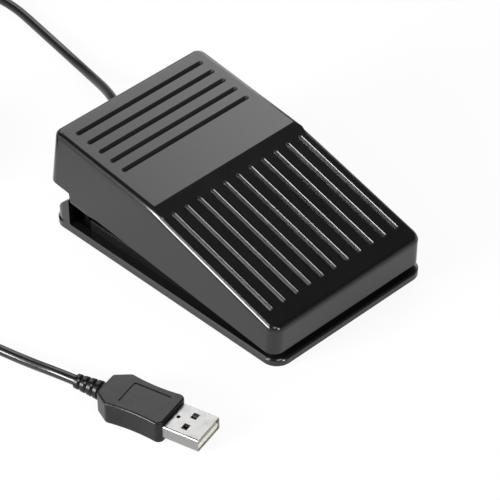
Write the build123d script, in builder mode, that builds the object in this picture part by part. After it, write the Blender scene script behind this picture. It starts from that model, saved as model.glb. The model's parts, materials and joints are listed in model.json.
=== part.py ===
"""USB foot pedal switch: a base tray on rubber feet, a pedal cover hinged at its front, a snap-action
switch and a small circuit board between them, and a cable that ends in a USB-A plug.

Millimetres. +Z is up, +Y is the rear, +X is the right-hand side. The origin lies on the floor under the
middle of the base. The cover is drawn in its own frame, which leans back from the base by rest_tilt.
"""

from build123d import *
import math
import os

os.makedirs("parts", exist_ok=True)

# Base tray
base_length = 102.0
base_width = 65.0
base_corner_radius = 5.4
base_thickness = 2.4
base_edge_bevel = 0.5
tray_rim_width = 3.4
tray_recess_depth = 0.6
side_wall_inset = 4.2
side_wall_thickness = 1.5
side_wall_height = 4.5
side_wall_end_inset = 15.0
side_wall_length = base_length - 2 * side_wall_end_inset

# Rear wall of the base, a curved hood under the back edge of the cover
rear_wall_depth = 8.2
rear_wall_height = 9.9
rear_wall_setback = 0.8
rear_wall_curve_radius = 20.0
rear_wall_thickness = 2.0

# Rubber feet
foot_diameter = 9.0
foot_height = 0.8
foot_seat_depth = 0.8
foot_edge_radius = 0.3
foot_side_inset = 9.0
foot_end_inset = 10.0
foot_spacing_x = base_width - 2 * foot_side_inset
foot_spacing_y = base_length - 2 * foot_end_inset

# Pedal cover
cover_overlength = 0.4
cover_length = base_length + cover_overlength
cover_gap = 1.8
cover_front_setback = 1.4
cover_corner_radius = 4.1
cover_wall = 2.0
cover_draft = 2.5
cover_front_height = 10.0
cover_knee_height = 20.8
cover_rear_height = 22.2
cover_knee_distance = 56.3
cover_edge_radius = 1.8
rest_tilt = 5.66
tongue_drop = 2.1
tongue_start_from_rear = 23.4
tongue_end_from_rear = 11.4
tongue_start = cover_length - tongue_start_from_rear
tongue_end = cover_length - tongue_end_from_rear
tongue_lean = 1.2
notch_rise = 2.3
notch_corner_radius = 1.0
roof_rib_thickness = 1.6
roof_rib_depth = 2.4

# Grip grooves in the roof of the cover
groove_width = 1.8
front_groove_count = 11
front_groove_pitch = 5.43
front_groove_from_knee = 4.9
front_groove_length = 45.3
rear_groove_count = 5
rear_groove_pitch = 5.29
rear_groove_side_inset = 5.5
rear_groove_length = base_width - 2 * rear_groove_side_inset
rear_groove_from_knee = 17.6

# Hinge
hinge_setback = 6.6
hinge_rise = 2.6
pin_diameter = 3.0
pin_end_inset = 4.5
pin_length = base_width - 2 * pin_end_inset
pin_end_bevel = 0.3
pin_clearance = 0.05
clip_wall = 1.6
clip_width = 3.6
clip_mouth = 2.5
clip_mouth_bevel = 0.7
lug_width = 5.0
lug_side_inset = 12.5
lug_spacing = base_width - 2 * lug_side_inset
lug_side_gap = 0.35

# Snap fingers that hold the cover down against the springs
finger_side_inset = 8.5
finger_spacing = base_width - 2 * finger_side_inset
finger_width = 5.0
finger_thickness = 1.8
finger_setback = 1.0
finger_barb_reach = 2.2
finger_barb_height = 1.8
finger_root_radius = 1.0
ledge_height = 16.4
ledge_thickness = 1.8
ledge_width = 8.0
ledge_gap = 0.6
part_gap = 0.3

# Return springs
spring_side_inset = 12.0
spring_from_rear = 30.0
spring_spacing = base_width - 2 * spring_side_inset
spring_y = base_length / 2 - spring_from_rear
spring_wire = 0.9
spring_diameter = 7.6
spring_height = 17.0
spring_turns = 6
spring_ground_share = 0.3
spigot_height = 4.0
spring_fit = 0.4
spring_cup_wall = 1.2
spring_cup_height = 1.6
spring_boss_wall = 1.0

# Snap-action switch, standing on its edge along the middle of the base
switch_length = 19.8
switch_height = 10.2
switch_thickness = 6.4
switch_from_rear = 27.0
switch_front_y = base_length / 2 - switch_from_rear - switch_length
switch_lift = 7.0
switch_edge_bevel = 0.4
switch_hole_spacing = 9.5
switch_hole_diameter = 2.3
switch_hole_rise = 2.9
plunger_width = 1.6
plunger_length = 2.9
plunger_stand = 0.9
plunger_root = 3.0
plunger_pocket_depth = 4.2
plunger_clearance = 0.08
plunger_from_pivot = 5.0
lever_width = 3.6
lever_sheet = 0.4
lever_length = 17.6
lever_rest_angle = 12.0
lever_pivot_rise = 0.3
lever_pivot_from_front = 2.0
lever_trunnion_diameter = 1.2
lever_trunnion_clearance = 0.08
lever_trunnion_setback = 0.2
lever_side_gap = 0.2
cheek_length = 2.6
cheek_rise = 1.5
terminal_width = 3.2
terminal_thickness = 0.5
terminal_length = 5.6
terminal_count = 3
terminal_pitch = 7.6
terminal_hole_diameter = 1.2
terminal_hole_rise = 1.3
bracket_thickness = 2.6
switch_shelf_width = 1.4
bracket_foot = 3.4
actuator_from_switch_front = 16.8
actuator_y = switch_front_y + actuator_from_switch_front
actuator_diameter = 4.0

# Circuit board and what is soldered to it
board_length = 34.0
board_width = 22.0
board_thickness = 1.6
board_from_rear = 68.0
board_y = base_length / 2 - board_from_rear
board_corner_radius = 1.0
board_hole_diameter = 2.3
board_hole_inset = 2.6
board_post_diameter = 4.6
board_post_height = 3.0
pilot_clearance = 0.04
chip_length = 10.0
chip_width = 4.0
chip_height = 1.5
chip_standoff = 0.2
chip_leg_count = 8
chip_leg_pitch = 1.27
chip_leg_width = 0.42
chip_leg_sheet = 0.2
chip_leg_reach = 1.1
chip_from_board_middle = 3.0
chip_y = board_y - chip_from_board_middle
crystal_length = 10.8
crystal_width = 4.4
crystal_height = 3.4
crystal_flange = 0.5
crystal_flange_height = 0.4
crystal_x = -9.0
crystal_from_board_middle = 2.8
crystal_y = board_y + crystal_from_board_middle
can_diameter = 4.0
can_height = 5.2
can_base = 0.8
can_base_size = 4.3
can_edge_radius = 0.3
can_x = 11.5
can_from_board_middle = 2.5
can_y = board_y - can_from_board_middle
small_part_length = 2.0
small_part_width = 1.25
small_part_height = 0.6
small_part_pitch = 2.6
small_part_count = 3
small_part_x = -9.5
small_part_from_board_middle = 5.0
small_part_y = board_y - small_part_from_board_middle
header_length = 10.0
header_width = 4.8
header_height = 6.0
header_slot_width = 1.2
header_slot_depth = 0.8
header_x = 7.0
header_from_board_middle = 6.4
header_y = board_y + header_from_board_middle

# Screws
screw_diameter = 1.8
screw_head_diameter = 3.8
screw_head_height = 1.3
screw_head_radius = 0.4
screw_slot_width = 0.6
screw_slot_depth = 0.7
board_screw_length = 4.2
clamp_screw_length = 6.6
clamp_screw_hole_spare = 0.5
switch_screw_grip = 2.0

# Cable, its rear exit and the clamp inside
cable_diameter = 3.3
exit_side_inset = 15.5
exit_x = base_width / 2 - exit_side_inset
exit_rise = 4.6
cable_boss_diameter = 10.4
cable_boss_length = 8.4
cable_boss_setback = 0.3
jacket_end_from_rear = 18.5
jacket_end_y = base_length / 2 - jacket_end_from_rear
relief_neck_diameter = 6.6
relief_neck_fit = 0.05
relief_flange_diameter = 8.0
relief_flange_thickness = 1.4
relief_collar_diameter = 7.8
relief_collar_thickness = 2.0
relief_tail_length = 13.0
relief_tail_diameter = 6.4
relief_tip_diameter = 4.8
relief_ring_count = 4
relief_ring_depth = 0.55
relief_tip_land = 1.2
clamp_length = 14.0
clamp_width = 5.0
clamp_height = 3.4
clamp_from_rear = 15.0
clamp_y = base_length / 2 - clamp_from_rear
clamp_gap = 0.5
clamp_screw_spacing = 9.2
clamp_corner_radius = 1.0

# Conductors and switch wires inside the housing
conductor_diameter = 1.0
conductor_gap = 0.16
conductor_pitch = 2.0
conductor_lead = 4.0
conductor_corridor_x = 10.6
conductor_corridor_lead = 8.5
conductor_corridor_length = 19.0
conductor_corridor_start_y = jacket_end_y - conductor_corridor_lead
conductor_corridor_end_y = conductor_corridor_start_y - conductor_corridor_length
switch_wire_diameter = 1.2
switch_wire_pitch = 3.2
switch_wire_x = -6.0
switch_wire_end_from_board_middle = 7.8
switch_wire_end_y = board_y + switch_wire_end_from_board_middle
switch_wire_lift = 3.2

# Put-away coil of the cable
coil_x = -58.0
coil_y = 108.0
coil_mean_radius = 18.5
coil_pitch = 3.8
coil_layer_rise = 3.8
coil_layers = 4
coil_entry_angle = 128.0
coil_exit_angle = 180.0
coil_full_turns = 12
coil_steps_per_turn = 4
coil_stub = 3.3
coil_lead_in = 16.0
coil_lead_out = 10.0
tie_width = 5.0
tie_sheet = 0.6
tie_slack = 0.3
tie_corner_radius = 1.6
tie_angle = 60.0

# USB-A plug, lying flat
plug_x = -79.85
plug_y = -14.4
plug_heading = 14.7
plug_lead = 7.0
boot_length = 10.0
boot_start_diameter = 4.6
boot_end_diameter = 6.4
boot_ring_count = 4
boot_ring_depth = 0.6
mould_length = 24.0
mould_width = 15.4
mould_thickness = 7.8
mould_rear_width = 9.0
mould_rear_taper = 5.0
mould_waist = 0.8
mould_waist_from_front = 9.5
mould_corner_radius = 2.0
mould_front_corner_radius = 1.2
mould_edge_radius = 0.7
mould_panel_depth = 0.3
mould_panel_length = 13.0
mould_panel_width = 9.6
mould_panel_from_front = 3.4
shell_width = 12.0
shell_height = 4.5
shell_length = 12.0
shell_sheet = 0.3
shell_corner_radius = 0.6
window_width = 2.5
window_length = 2.0
window_spacing = 5.2
window_from_mouth = 6.2
seam_mark_diameter = 1.3
seam_mark_from_mouth = 10.3
insert_thickness = 1.84
insert_setback = 0.4
shell_root = 3.0
shell_fit = 0.03
insert_fit = 0.05
contact_width = 1.0
contact_sheet = 0.2
contact_long = 8.4
contact_short = 7.4
contact_inner_spacing = 2.0
contact_outer_spacing = 7.0
contact_from_tip = 1.0

# Runs past a face, so that no cut ends on it
overrun = 5.0

# Arcs of a route take this share of its shorter run, and a winding's gap is measured on points
arc_share = 0.45
gap_samples_per_turn = 24

# Heights, planes and places that follow from the sizes
base_under = foot_height
rim_z = base_under + base_thickness
floor_z = rim_z - tray_recess_depth
base_rear = base_length / 2
pin_radius = pin_diameter / 2
knuckle_radius = pin_radius + pin_clearance + clip_wall
cable_radius = cable_diameter / 2
tilt = math.radians(rest_tilt)
cover_frame = Plane(
    origin=(0, cover_front_setback - base_length / 2, rim_z + cover_gap),
    x_dir=(1, 0, 0),
    z_dir=(0, -math.sin(tilt), math.cos(tilt)),
)
cover_side = Plane(origin=cover_frame.origin, x_dir=cover_frame.y_dir, z_dir=(1, 0, 0))
hinge = cover_frame.from_local_coords(Vector(0, hinge_setback, hinge_rise))
exit_z = floor_z + exit_rise
rear_wall_front = base_rear - rear_wall_depth
pilot_radius = screw_diameter / 2 + pilot_clearance


def write(shape, name):
    """Labels a finished piece and writes it."""
    shape.part.label = name
    export_step(shape.part, f"parts/{name}.step")


# Base tray


def base_outline(inset):
    """The rounded outline of the base, drawn in from its edge."""
    return RectangleRounded(
        base_width - 2 * inset, base_length - 2 * inset, base_corner_radius - inset
    )


def rear_wall_form(inset, bottom_z):
    """The hood at the back of the base, or the hollow inside it."""
    top = (rear_wall_front, rim_z + rear_wall_height - inset)
    back = (base_rear - rear_wall_setback - inset, rim_z)
    with BuildPart() as form:
        with BuildSketch(Plane.YZ):
            with BuildLine():
                RadiusArc(top, back, rear_wall_curve_radius - inset)
                Polyline(
                    back,
                    (back[0], bottom_z),
                    (rear_wall_front, bottom_z),
                    top,
                )
            make_face()
        extrude(amount=base_width, both=True)
        with BuildSketch(Plane.XY.offset(bottom_z)):
            base_outline(base_edge_bevel + inset)
        extrude(amount=rear_wall_height + base_thickness, mode=Mode.INTERSECT)
    return form.part


def screw_post(x, y, z, diameter, height):
    """A moulded post with a pilot hole, standing on the floor of the tray."""
    with Locations((x, y, z)):
        Cylinder(diameter / 2, height, align=(Align.CENTER, Align.CENTER, Align.MIN))
    with Locations((x, y, z + height)):
        Cylinder(
            pilot_radius,
            height,
            align=(Align.CENTER, Align.CENTER, Align.MAX),
            mode=Mode.SUBTRACT,
        )


clip_offset = lug_width / 2 + lug_side_gap + clip_width / 2
clip_places = [
    side * (lug_spacing / 2 + step) for side in (-1, 1) for step in (-clip_offset, clip_offset)
]
foot_places = {
    "front_left": (-foot_spacing_x / 2, -foot_spacing_y / 2),
    "front_right": (foot_spacing_x / 2, -foot_spacing_y / 2),
    "rear_left": (-foot_spacing_x / 2, foot_spacing_y / 2),
    "rear_right": (foot_spacing_x / 2, foot_spacing_y / 2),
}
board_hole_x = board_length / 2 - board_hole_inset
board_hole_y = board_width / 2 - board_hole_inset
board_holes = [
    (sx * board_hole_x, board_y + sy * board_hole_y) for sx in (-1, 1) for sy in (-1, 1)
]
clamp_screw_places = [exit_x - clamp_screw_spacing / 2, exit_x + clamp_screw_spacing / 2]
clamp_split_z = exit_z - clamp_gap / 2
switch_bottom = floor_z + switch_lift
switch_top = switch_bottom + switch_height
switch_mid_y = switch_front_y + switch_length / 2
switch_holes = [switch_mid_y - switch_hole_spacing / 2, switch_mid_y + switch_hole_spacing / 2]
switch_hole_z = switch_bottom + switch_hole_rise
bracket_x = switch_thickness / 2
lever_pivot_y = switch_front_y + lever_pivot_from_front
lever_pivot_z = switch_top + lever_pivot_rise
lever_angle = math.radians(lever_rest_angle)
actuator_z = (
    lever_pivot_z
    + (actuator_y + actuator_diameter / 2 - lever_pivot_y) * math.tan(lever_angle)
    + lever_sheet / 2 / math.cos(lever_angle)
    + part_gap
)
ledge_z = floor_z + ledge_height
finger_rear = rear_wall_front - finger_setback
finger_top = ledge_z + part_gap + finger_barb_height
spring_inner = spring_diameter / 2 - spring_wire
spring_top = floor_z + spring_height
spring_places = [-spring_spacing / 2, spring_spacing / 2]

with BuildPart() as base_tray:
    with BuildSketch(Plane.XY.offset(base_under)):
        base_outline(0)
    extrude(amount=base_thickness)
    chamfer(base_tray.faces().sort_by(Axis.Z)[-1].edges(), base_edge_bevel)
    with BuildSketch(Plane.XY.offset(rim_z)):
        base_outline(tray_rim_width)
    extrude(amount=-tray_recess_depth, mode=Mode.SUBTRACT)
    # curved rear wall, hollow from inside
    add(rear_wall_form(0, base_under + base_edge_bevel))
    add(rear_wall_form(rear_wall_thickness, floor_z), mode=Mode.SUBTRACT)
    # tube round the cable exit, standing through the rear wall
    cable_boss_plane = Plane(
        origin=(exit_x, base_rear - cable_boss_setback, exit_z), x_dir=(1, 0, 0), z_dir=(0, -1, 0)
    )
    with BuildSketch(cable_boss_plane):
        Circle(cable_boss_diameter / 2)
        with Locations((0, -exit_rise)):
            Rectangle(cable_boss_diameter, exit_rise, align=(Align.CENTER, Align.MIN))
    extrude(amount=cable_boss_length)
    with BuildSketch(cable_boss_plane.offset(-overrun)):
        Circle(relief_neck_diameter / 2 + relief_neck_fit)
    extrude(amount=cable_boss_length + 2 * overrun, mode=Mode.SUBTRACT)
    # low walls just inside the skirts of the cover
    for side in (-1, 1):
        with BuildSketch(Plane.XY.offset(floor_z)):
            with Locations((side * (base_width / 2 - side_wall_inset), 0)):
                Rectangle(side_wall_thickness, side_wall_length)
        extrude(amount=side_wall_height)
    # hinge clips, open at the top, which the pin snaps into
    for x in clip_places:
        with BuildSketch(Plane.YZ.offset(x - clip_width / 2)):
            with Locations((hinge.Y, hinge.Z)):
                Circle(knuckle_radius)
                Rectangle(
                    2 * knuckle_radius,
                    hinge.Z - floor_z,
                    align=(Align.CENTER, Align.MAX),
                )
            with BuildLine():
                Polyline(
                    (hinge.Y - clip_mouth / 2, hinge.Z),
                    (hinge.Y - clip_mouth / 2, hinge.Z + knuckle_radius - clip_mouth_bevel),
                    (hinge.Y - clip_mouth / 2 - clip_mouth_bevel, hinge.Z + knuckle_radius),
                    (hinge.Y + clip_mouth / 2 + clip_mouth_bevel, hinge.Z + knuckle_radius),
                    (hinge.Y + clip_mouth / 2, hinge.Z + knuckle_radius - clip_mouth_bevel),
                    (hinge.Y + clip_mouth / 2, hinge.Z),
                    close=True,
                )
            make_face(mode=Mode.SUBTRACT)
            with Locations((hinge.Y, hinge.Z)):
                Circle(pin_radius + pin_clearance, mode=Mode.SUBTRACT)
        extrude(amount=clip_width)
    # snap fingers with a barb at the top
    for side in (-1, 1):
        with BuildSketch(Plane.YZ.offset(side * finger_spacing / 2 - finger_width / 2)):
            with BuildLine():
                Polyline(
                    (finger_rear, floor_z),
                    (finger_rear, finger_top - finger_barb_height),
                    (finger_rear + finger_barb_reach, finger_top - finger_barb_height),
                    (finger_rear, finger_top),
                    (finger_rear - finger_thickness, finger_top),
                    (finger_rear - finger_thickness, floor_z + finger_root_radius),
                    (finger_rear - finger_thickness - finger_root_radius, floor_z),
                    close=True,
                )
            make_face()
        extrude(amount=finger_width)
    # spring seats, each a shallow cup round a spigot
    for x in spring_places:
        with BuildSketch(Plane.XY.offset(floor_z)):
            with Locations((x, spring_y)):
                Circle(spring_diameter / 2 + spring_fit + spring_cup_wall)
                Circle(spring_diameter / 2 + spring_fit, mode=Mode.SUBTRACT)
        extrude(amount=spring_cup_height)
        with BuildSketch(Plane.XY.offset(floor_z)):
            with Locations((x, spring_y)):
                Circle(spring_inner - spring_fit)
        extrude(amount=spigot_height)
    # posts under the circuit board
    for x, y in board_holes:
        screw_post(x, y, floor_z, board_post_diameter, board_post_height)
    # upright bracket beside the switch, with two bosses behind its screw holes
    with BuildSketch(Plane.YZ.offset(bracket_x)):
        with BuildLine():
            Polyline(
                (switch_front_y - bracket_foot, floor_z),
                (switch_front_y + switch_length + bracket_foot, floor_z),
                (switch_holes[1] + switch_hole_rise, switch_bottom),
                (switch_holes[1] + switch_hole_rise, switch_hole_z + switch_hole_rise),
                (switch_holes[0] - switch_hole_rise, switch_hole_z + switch_hole_rise),
                (switch_holes[0] - switch_hole_rise, switch_bottom),
                close=True,
            )
        make_face()
    extrude(amount=bracket_thickness)
    with BuildSketch(Plane.YZ.offset(bracket_x)):
        with Locations(*[(y, switch_hole_z) for y in switch_holes]):
            Circle(pilot_radius)
    extrude(amount=bracket_thickness, mode=Mode.SUBTRACT)
    # shelf under the switch
    with BuildSketch(Plane.XY.offset(floor_z)):
        for y in (switch_front_y, switch_front_y + switch_length):
            with Locations((0, y)):
                Rectangle(switch_thickness, switch_shelf_width)
    extrude(amount=switch_lift)
    # saddle for the cable clamp
    with BuildSketch(Plane.XY.offset(floor_z)):
        with Locations((exit_x, clamp_y)):
            RectangleRounded(clamp_length, clamp_width, clamp_corner_radius)
    extrude(amount=clamp_split_z - floor_z)
    with BuildSketch(Plane.XZ.offset(-clamp_y)):
        with Locations((exit_x, exit_z)):
            Circle(cable_radius)
    extrude(amount=clamp_width, both=True, mode=Mode.SUBTRACT)
    for x in clamp_screw_places:
        with Locations((x, clamp_y, clamp_split_z)):
            Cylinder(
                pilot_radius,
                clamp_screw_length - clamp_height - clamp_gap + clamp_screw_hole_spare,
                align=(Align.CENTER, Align.CENTER, Align.MAX),
                mode=Mode.SUBTRACT,
            )
    # recesses for the rubber feet
    with BuildSketch(Plane.XY.offset(base_under)):
        with Locations(*foot_places.values()):
            Circle(foot_diameter / 2)
    extrude(amount=foot_seat_depth, mode=Mode.SUBTRACT)
write(base_tray, "base_tray")

for place, (x, y) in foot_places.items():
    with BuildPart() as rubber_foot:
        with BuildSketch():
            with Locations((x, y)):
                Circle(foot_diameter / 2)
        extrude(amount=foot_height + foot_seat_depth)
        fillet(rubber_foot.faces().sort_by(Axis.Z)[0].edges(), foot_edge_radius)
    write(rubber_foot, f"rubber_foot_{place}")

with BuildPart() as hinge_pin:
    with BuildSketch(Plane(origin=hinge, x_dir=(0, 1, 0), z_dir=(1, 0, 0))):
        Circle(pin_radius)
    extrude(amount=pin_length / 2, both=True)
    chamfer(hinge_pin.edges().filter_by(GeomType.CIRCLE), pin_end_bevel)
write(hinge_pin, "hinge_pin")

# Pedal cover

front_slope = (cover_knee_height - cover_front_height) / cover_knee_distance
rear_slope = (cover_rear_height - cover_knee_height) / (cover_length - cover_knee_distance)


def cover_form(inset):
    """The moulded outside of the cover, or with an inset the hollow inside it."""
    drop = inset * math.hypot(1, front_slope)
    knee_y = cover_knee_distance + inset * (front_slope - rear_slope) / 2
    height = cover_knee_height + tongue_drop + overrun
    with BuildPart() as form:
        with BuildSketch(cover_frame.offset(-tongue_drop)):
            with Locations((0, cover_length / 2)):
                RectangleRounded(
                    base_width - 2 * inset,
                    cover_length - 2 * inset,
                    max(cover_corner_radius - inset, cover_wall),
                )
        extrude(amount=height, taper=cover_draft)
        with BuildSketch(cover_side):
            with BuildLine():
                Polyline(
                    (-overrun, cover_front_height - drop - overrun * front_slope),
                    (knee_y, cover_front_height - drop + knee_y * front_slope),
                    (
                        cover_length + overrun,
                        cover_front_height
                        - drop
                        + knee_y * front_slope
                        + (cover_length + overrun - knee_y) * rear_slope,
                    ),
                    (cover_length + overrun, -tongue_drop),
                    (-overrun, -tongue_drop),
                    close=True,
                )
            make_face()
        extrude(amount=base_width, both=True, mode=Mode.INTERSECT)
    return form


def roof_plane(distance):
    """The plane of the roof where it is that far behind the front face, seen from above."""
    behind = distance > cover_knee_distance
    slope = rear_slope if behind else front_slope
    height = cover_knee_height + (distance - cover_knee_distance) * slope
    run = math.hypot(1, slope)
    local = Vector(0, distance, height)
    normal = cover_frame.y_dir * (-slope / run) + cover_frame.z_dir * (1 / run)
    return Plane(origin=cover_frame.from_local_coords(local), x_dir=(1, 0, 0), z_dir=normal)


def groove_row(plane, length, pitch, count, across):
    """A row of round-bottomed cuts with round ends, on a plane of the roof."""
    with BuildPart(plane) as cuts:
        with GridLocations(
            0 if across else pitch,
            pitch if across else 0,
            1 if across else count,
            count if across else 1,
        ):
            Cylinder(
                groove_width / 2,
                length - groove_width,
                rotation=(0, 90, 0) if across else (90, 0, 0),
            )
            for end in (-1, 1):
                shift = end * (length - groove_width) / 2
                with Locations((shift if across else 0, 0 if across else shift)):
                    Sphere(groove_width / 2)
    return cuts.part


outer_form = cover_form(0)
with BuildPart() as outer_cover:
    add(outer_form.part)
    roof_faces = outer_cover.faces().filter_by(GeomType.PLANE).sort_by(Axis.Z)[-2:]
    rim_edges = [
        edge
        for face in roof_faces
        for edge in face.edges()
        if abs(cover_frame.to_local_coords(edge.center()).Y - cover_knee_distance) > cover_wall
        or edge.length < base_width / 2
    ]
    fillet(rim_edges, cover_edge_radius)

inner_cover = cover_form(cover_wall)

with BuildPart() as cover_fittings:
    # lugs that hang from the roof round the hinge pin
    for side in (-1, 1):
        with BuildSketch(cover_side.offset(side * lug_spacing / 2 - lug_width / 2)):
            with Locations((hinge_setback, hinge_rise)):
                Circle(knuckle_radius)
                Rectangle(
                    2 * knuckle_radius,
                    cover_front_height,
                    align=(Align.CENTER, Align.MIN),
                )
        extrude(amount=lug_width)
    # two long ribs under the roof, one over each lug
    for side in (-1, 1):
        with BuildSketch(cover_side.offset(side * lug_spacing / 2 - roof_rib_thickness / 2)):
            with BuildLine():
                Polyline(
                    (cover_wall / 2, cover_front_height - cover_wall - roof_rib_depth),
                    (
                        cover_knee_distance,
                        cover_knee_height - cover_wall - roof_rib_depth,
                    ),
                    (
                        cover_length - cover_wall,
                        cover_rear_height - cover_wall - roof_rib_depth,
                    ),
                    (cover_length - cover_wall, cover_rear_height),
                    (cover_knee_distance, cover_knee_height),
                    (cover_wall / 2, cover_front_height),
                    close=True,
                )
            make_face()
        extrude(amount=roof_rib_thickness)
    # bosses over the return springs, each with a spigot
    for x in spring_places:
        with BuildSketch(Plane.XY.offset(spring_top)):
            with Locations((x, spring_y)):
                Circle(spring_diameter / 2 + spring_boss_wall)
        extrude(amount=2 * cover_rear_height)
        with BuildSketch(Plane.XY.offset(spring_top)):
            with Locations((x, spring_y)):
                Circle(spring_inner - spring_fit)
        extrude(amount=-spigot_height)
    # post that presses the lever of the switch
    with BuildSketch(Plane.XY.offset(actuator_z)):
        with Locations((0, actuator_y)):
            Circle(actuator_diameter / 2)
    extrude(amount=2 * cover_rear_height)
    # ledges on the rear wall, under the barbs of the snap fingers
    for side in (-1, 1):
        with BuildSketch(Plane.XY.offset(ledge_z)):
            with Locations((side * finger_spacing / 2, finger_rear + ledge_gap)):
                Rectangle(
                    ledge_width,
                    rear_wall_depth + overrun,
                    align=(Align.CENTER, Align.MIN),
                )
        extrude(amount=-ledge_thickness)
    add(outer_cover.part, mode=Mode.INTERSECT)
    # running hole for the hinge pin
    with BuildSketch(Plane(origin=hinge, x_dir=(0, 1, 0), z_dir=(1, 0, 0))):
        Circle(pin_radius + pin_clearance)
    extrude(amount=base_width, both=True, mode=Mode.SUBTRACT)

with BuildPart() as pedal_cover:
    add(outer_cover.part)
    add(inner_cover.part, mode=Mode.SUBTRACT)
    # lower edge: level skirt, a deeper tongue towards the rear, and a notch over the rear wall
    with BuildSketch(cover_side):
        with BuildLine():
            Polyline(
                (-overrun, 0),
                (tongue_start, 0),
                (tongue_end, -tongue_drop),
                (tongue_end + tongue_lean, notch_rise),
                (cover_length + overrun, notch_rise),
                (cover_length + overrun, -tongue_drop - overrun),
                (-overrun, -tongue_drop - overrun),
                close=True,
            )
        make_face()
        notch_corner = (
            vertices().group_by(Axis.Z)[-1].sort_by(Axis.Y)[0]
        )
        fillet(notch_corner, notch_corner_radius)
    extrude(amount=base_width, both=True, mode=Mode.SUBTRACT)
    add(cover_fittings.part)
    # eleven grooves down the front slope and five across the rear
    front_middle = cover_knee_distance - (
        front_groove_from_knee + front_groove_length / 2
    ) / math.hypot(1, front_slope)
    rear_middle = cover_knee_distance + rear_groove_from_knee + (
        (rear_groove_count - 1) * rear_groove_pitch / 2
    )
    add(
        groove_row(
            roof_plane(front_middle),
            front_groove_length,
            front_groove_pitch,
            front_groove_count,
            False,
        ),
        mode=Mode.SUBTRACT,
    )
    add(
        groove_row(
            roof_plane(rear_middle),
            rear_groove_length,
            rear_groove_pitch,
            rear_groove_count,
            True,
        ),
        mode=Mode.SUBTRACT,
    )
write(pedal_cover, "pedal_cover")

# Screws


def screws(places, shank_length):
    """Slotted pan-head screws, each given by the plane under its head, facing out of the work."""
    head_tops = [place.offset(screw_head_height).origin for place in places]
    with BuildPart() as group:
        for place in places:
            with BuildSketch(place):
                Circle(screw_head_diameter / 2)
            extrude(amount=screw_head_height)
            with BuildSketch(place):
                Circle(screw_diameter / 2)
            extrude(amount=-shank_length)
        top_edges = [
            edge
            for edge in group.edges().filter_by(GeomType.CIRCLE)
            if min((edge.arc_center - top).length for top in head_tops) < screw_head_radius
        ]
        fillet(top_edges, screw_head_radius)
        for place in places:
            with BuildSketch(place.offset(screw_head_height)):
                Rectangle(screw_slot_width, screw_head_diameter)
            extrude(amount=-screw_slot_depth, mode=Mode.SUBTRACT)
    return group


board_under = floor_z + board_post_height
board_top = board_under + board_thickness
clamp_bottom = exit_z + clamp_gap / 2
clamp_top = clamp_bottom + clamp_height
board_screw_places = [Plane(origin=(x, y, board_top)) for x, y in board_holes]
clamp_screw_places_up = [
    Plane(origin=(x, clamp_y, clamp_top)) for x in clamp_screw_places
]
switch_screw_places = [
    Plane(origin=(-switch_thickness / 2, y, switch_hole_z), x_dir=(0, 1, 0), z_dir=(-1, 0, 0))
    for y in switch_holes
]
write(screws(board_screw_places, board_screw_length), "board_screws")
write(screws(clamp_screw_places_up, clamp_screw_length), "clamp_screws")
write(screws(switch_screw_places, switch_thickness + switch_screw_grip), "switch_screws")

# Snap-action switch

terminal_places = [
    switch_mid_y + (i - (terminal_count - 1) / 2) * terminal_pitch for i in range(terminal_count)
]
plunger_y = lever_pivot_y + plunger_from_pivot

with BuildPart() as switch_housing:
    with BuildSketch(Plane.XY.offset(switch_bottom)):
        with Locations((0, switch_mid_y)):
            Rectangle(switch_thickness, switch_length)
    extrude(amount=switch_height)
    chamfer(switch_housing.edges().filter_by(Axis.Z), switch_edge_bevel)
    # two cheeks that carry the lever
    cheek_inner = lever_width / 2 + lever_side_gap
    cheek_top = lever_pivot_z + cheek_rise - lever_pivot_rise
    for side in (-1, 1):
        with BuildSketch(Plane.XY.offset(switch_top)):
            with Locations((side * (cheek_inner + switch_thickness / 2) / 2, lever_pivot_y)):
                Rectangle(switch_thickness / 2 - cheek_inner, cheek_length)
        extrude(amount=cheek_top - switch_top)
    with BuildSketch(Plane.YZ):
        with Locations((lever_pivot_y, lever_pivot_z)):
            Circle(lever_trunnion_diameter / 2 + lever_trunnion_clearance)
    extrude(amount=switch_thickness, both=True, mode=Mode.SUBTRACT)
    # pocket that the plunger slides in
    with BuildSketch(Plane.XY.offset(switch_top)):
        with Locations((0, plunger_y)):
            Rectangle(
                plunger_length + 2 * plunger_clearance, plunger_width + 2 * plunger_clearance
            )
    extrude(amount=-plunger_pocket_depth, mode=Mode.SUBTRACT)
    # two screw holes right through
    with BuildSketch(Plane.YZ.offset(-switch_thickness / 2)):
        with Locations(*[(y, switch_hole_z) for y in switch_holes]):
            Circle(switch_hole_diameter / 2)
    extrude(amount=switch_thickness, mode=Mode.SUBTRACT)
write(switch_housing, "switch_housing")

with BuildPart() as switch_plunger:
    with BuildSketch(Plane.YZ):
        with BuildLine():
            shoulder_z = switch_top + plunger_stand - plunger_width / 2
            Polyline(
                (plunger_y - plunger_width / 2, shoulder_z),
                (plunger_y - plunger_width / 2, switch_top - plunger_root),
                (plunger_y + plunger_width / 2, switch_top - plunger_root),
                (plunger_y + plunger_width / 2, shoulder_z),
            )
            ThreePointArc(
                (plunger_y + plunger_width / 2, shoulder_z),
                (plunger_y, shoulder_z + plunger_width / 2),
                (plunger_y - plunger_width / 2, shoulder_z),
            )
        make_face()
    extrude(amount=plunger_length / 2, both=True)
write(switch_plunger, "switch_plunger")

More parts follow.
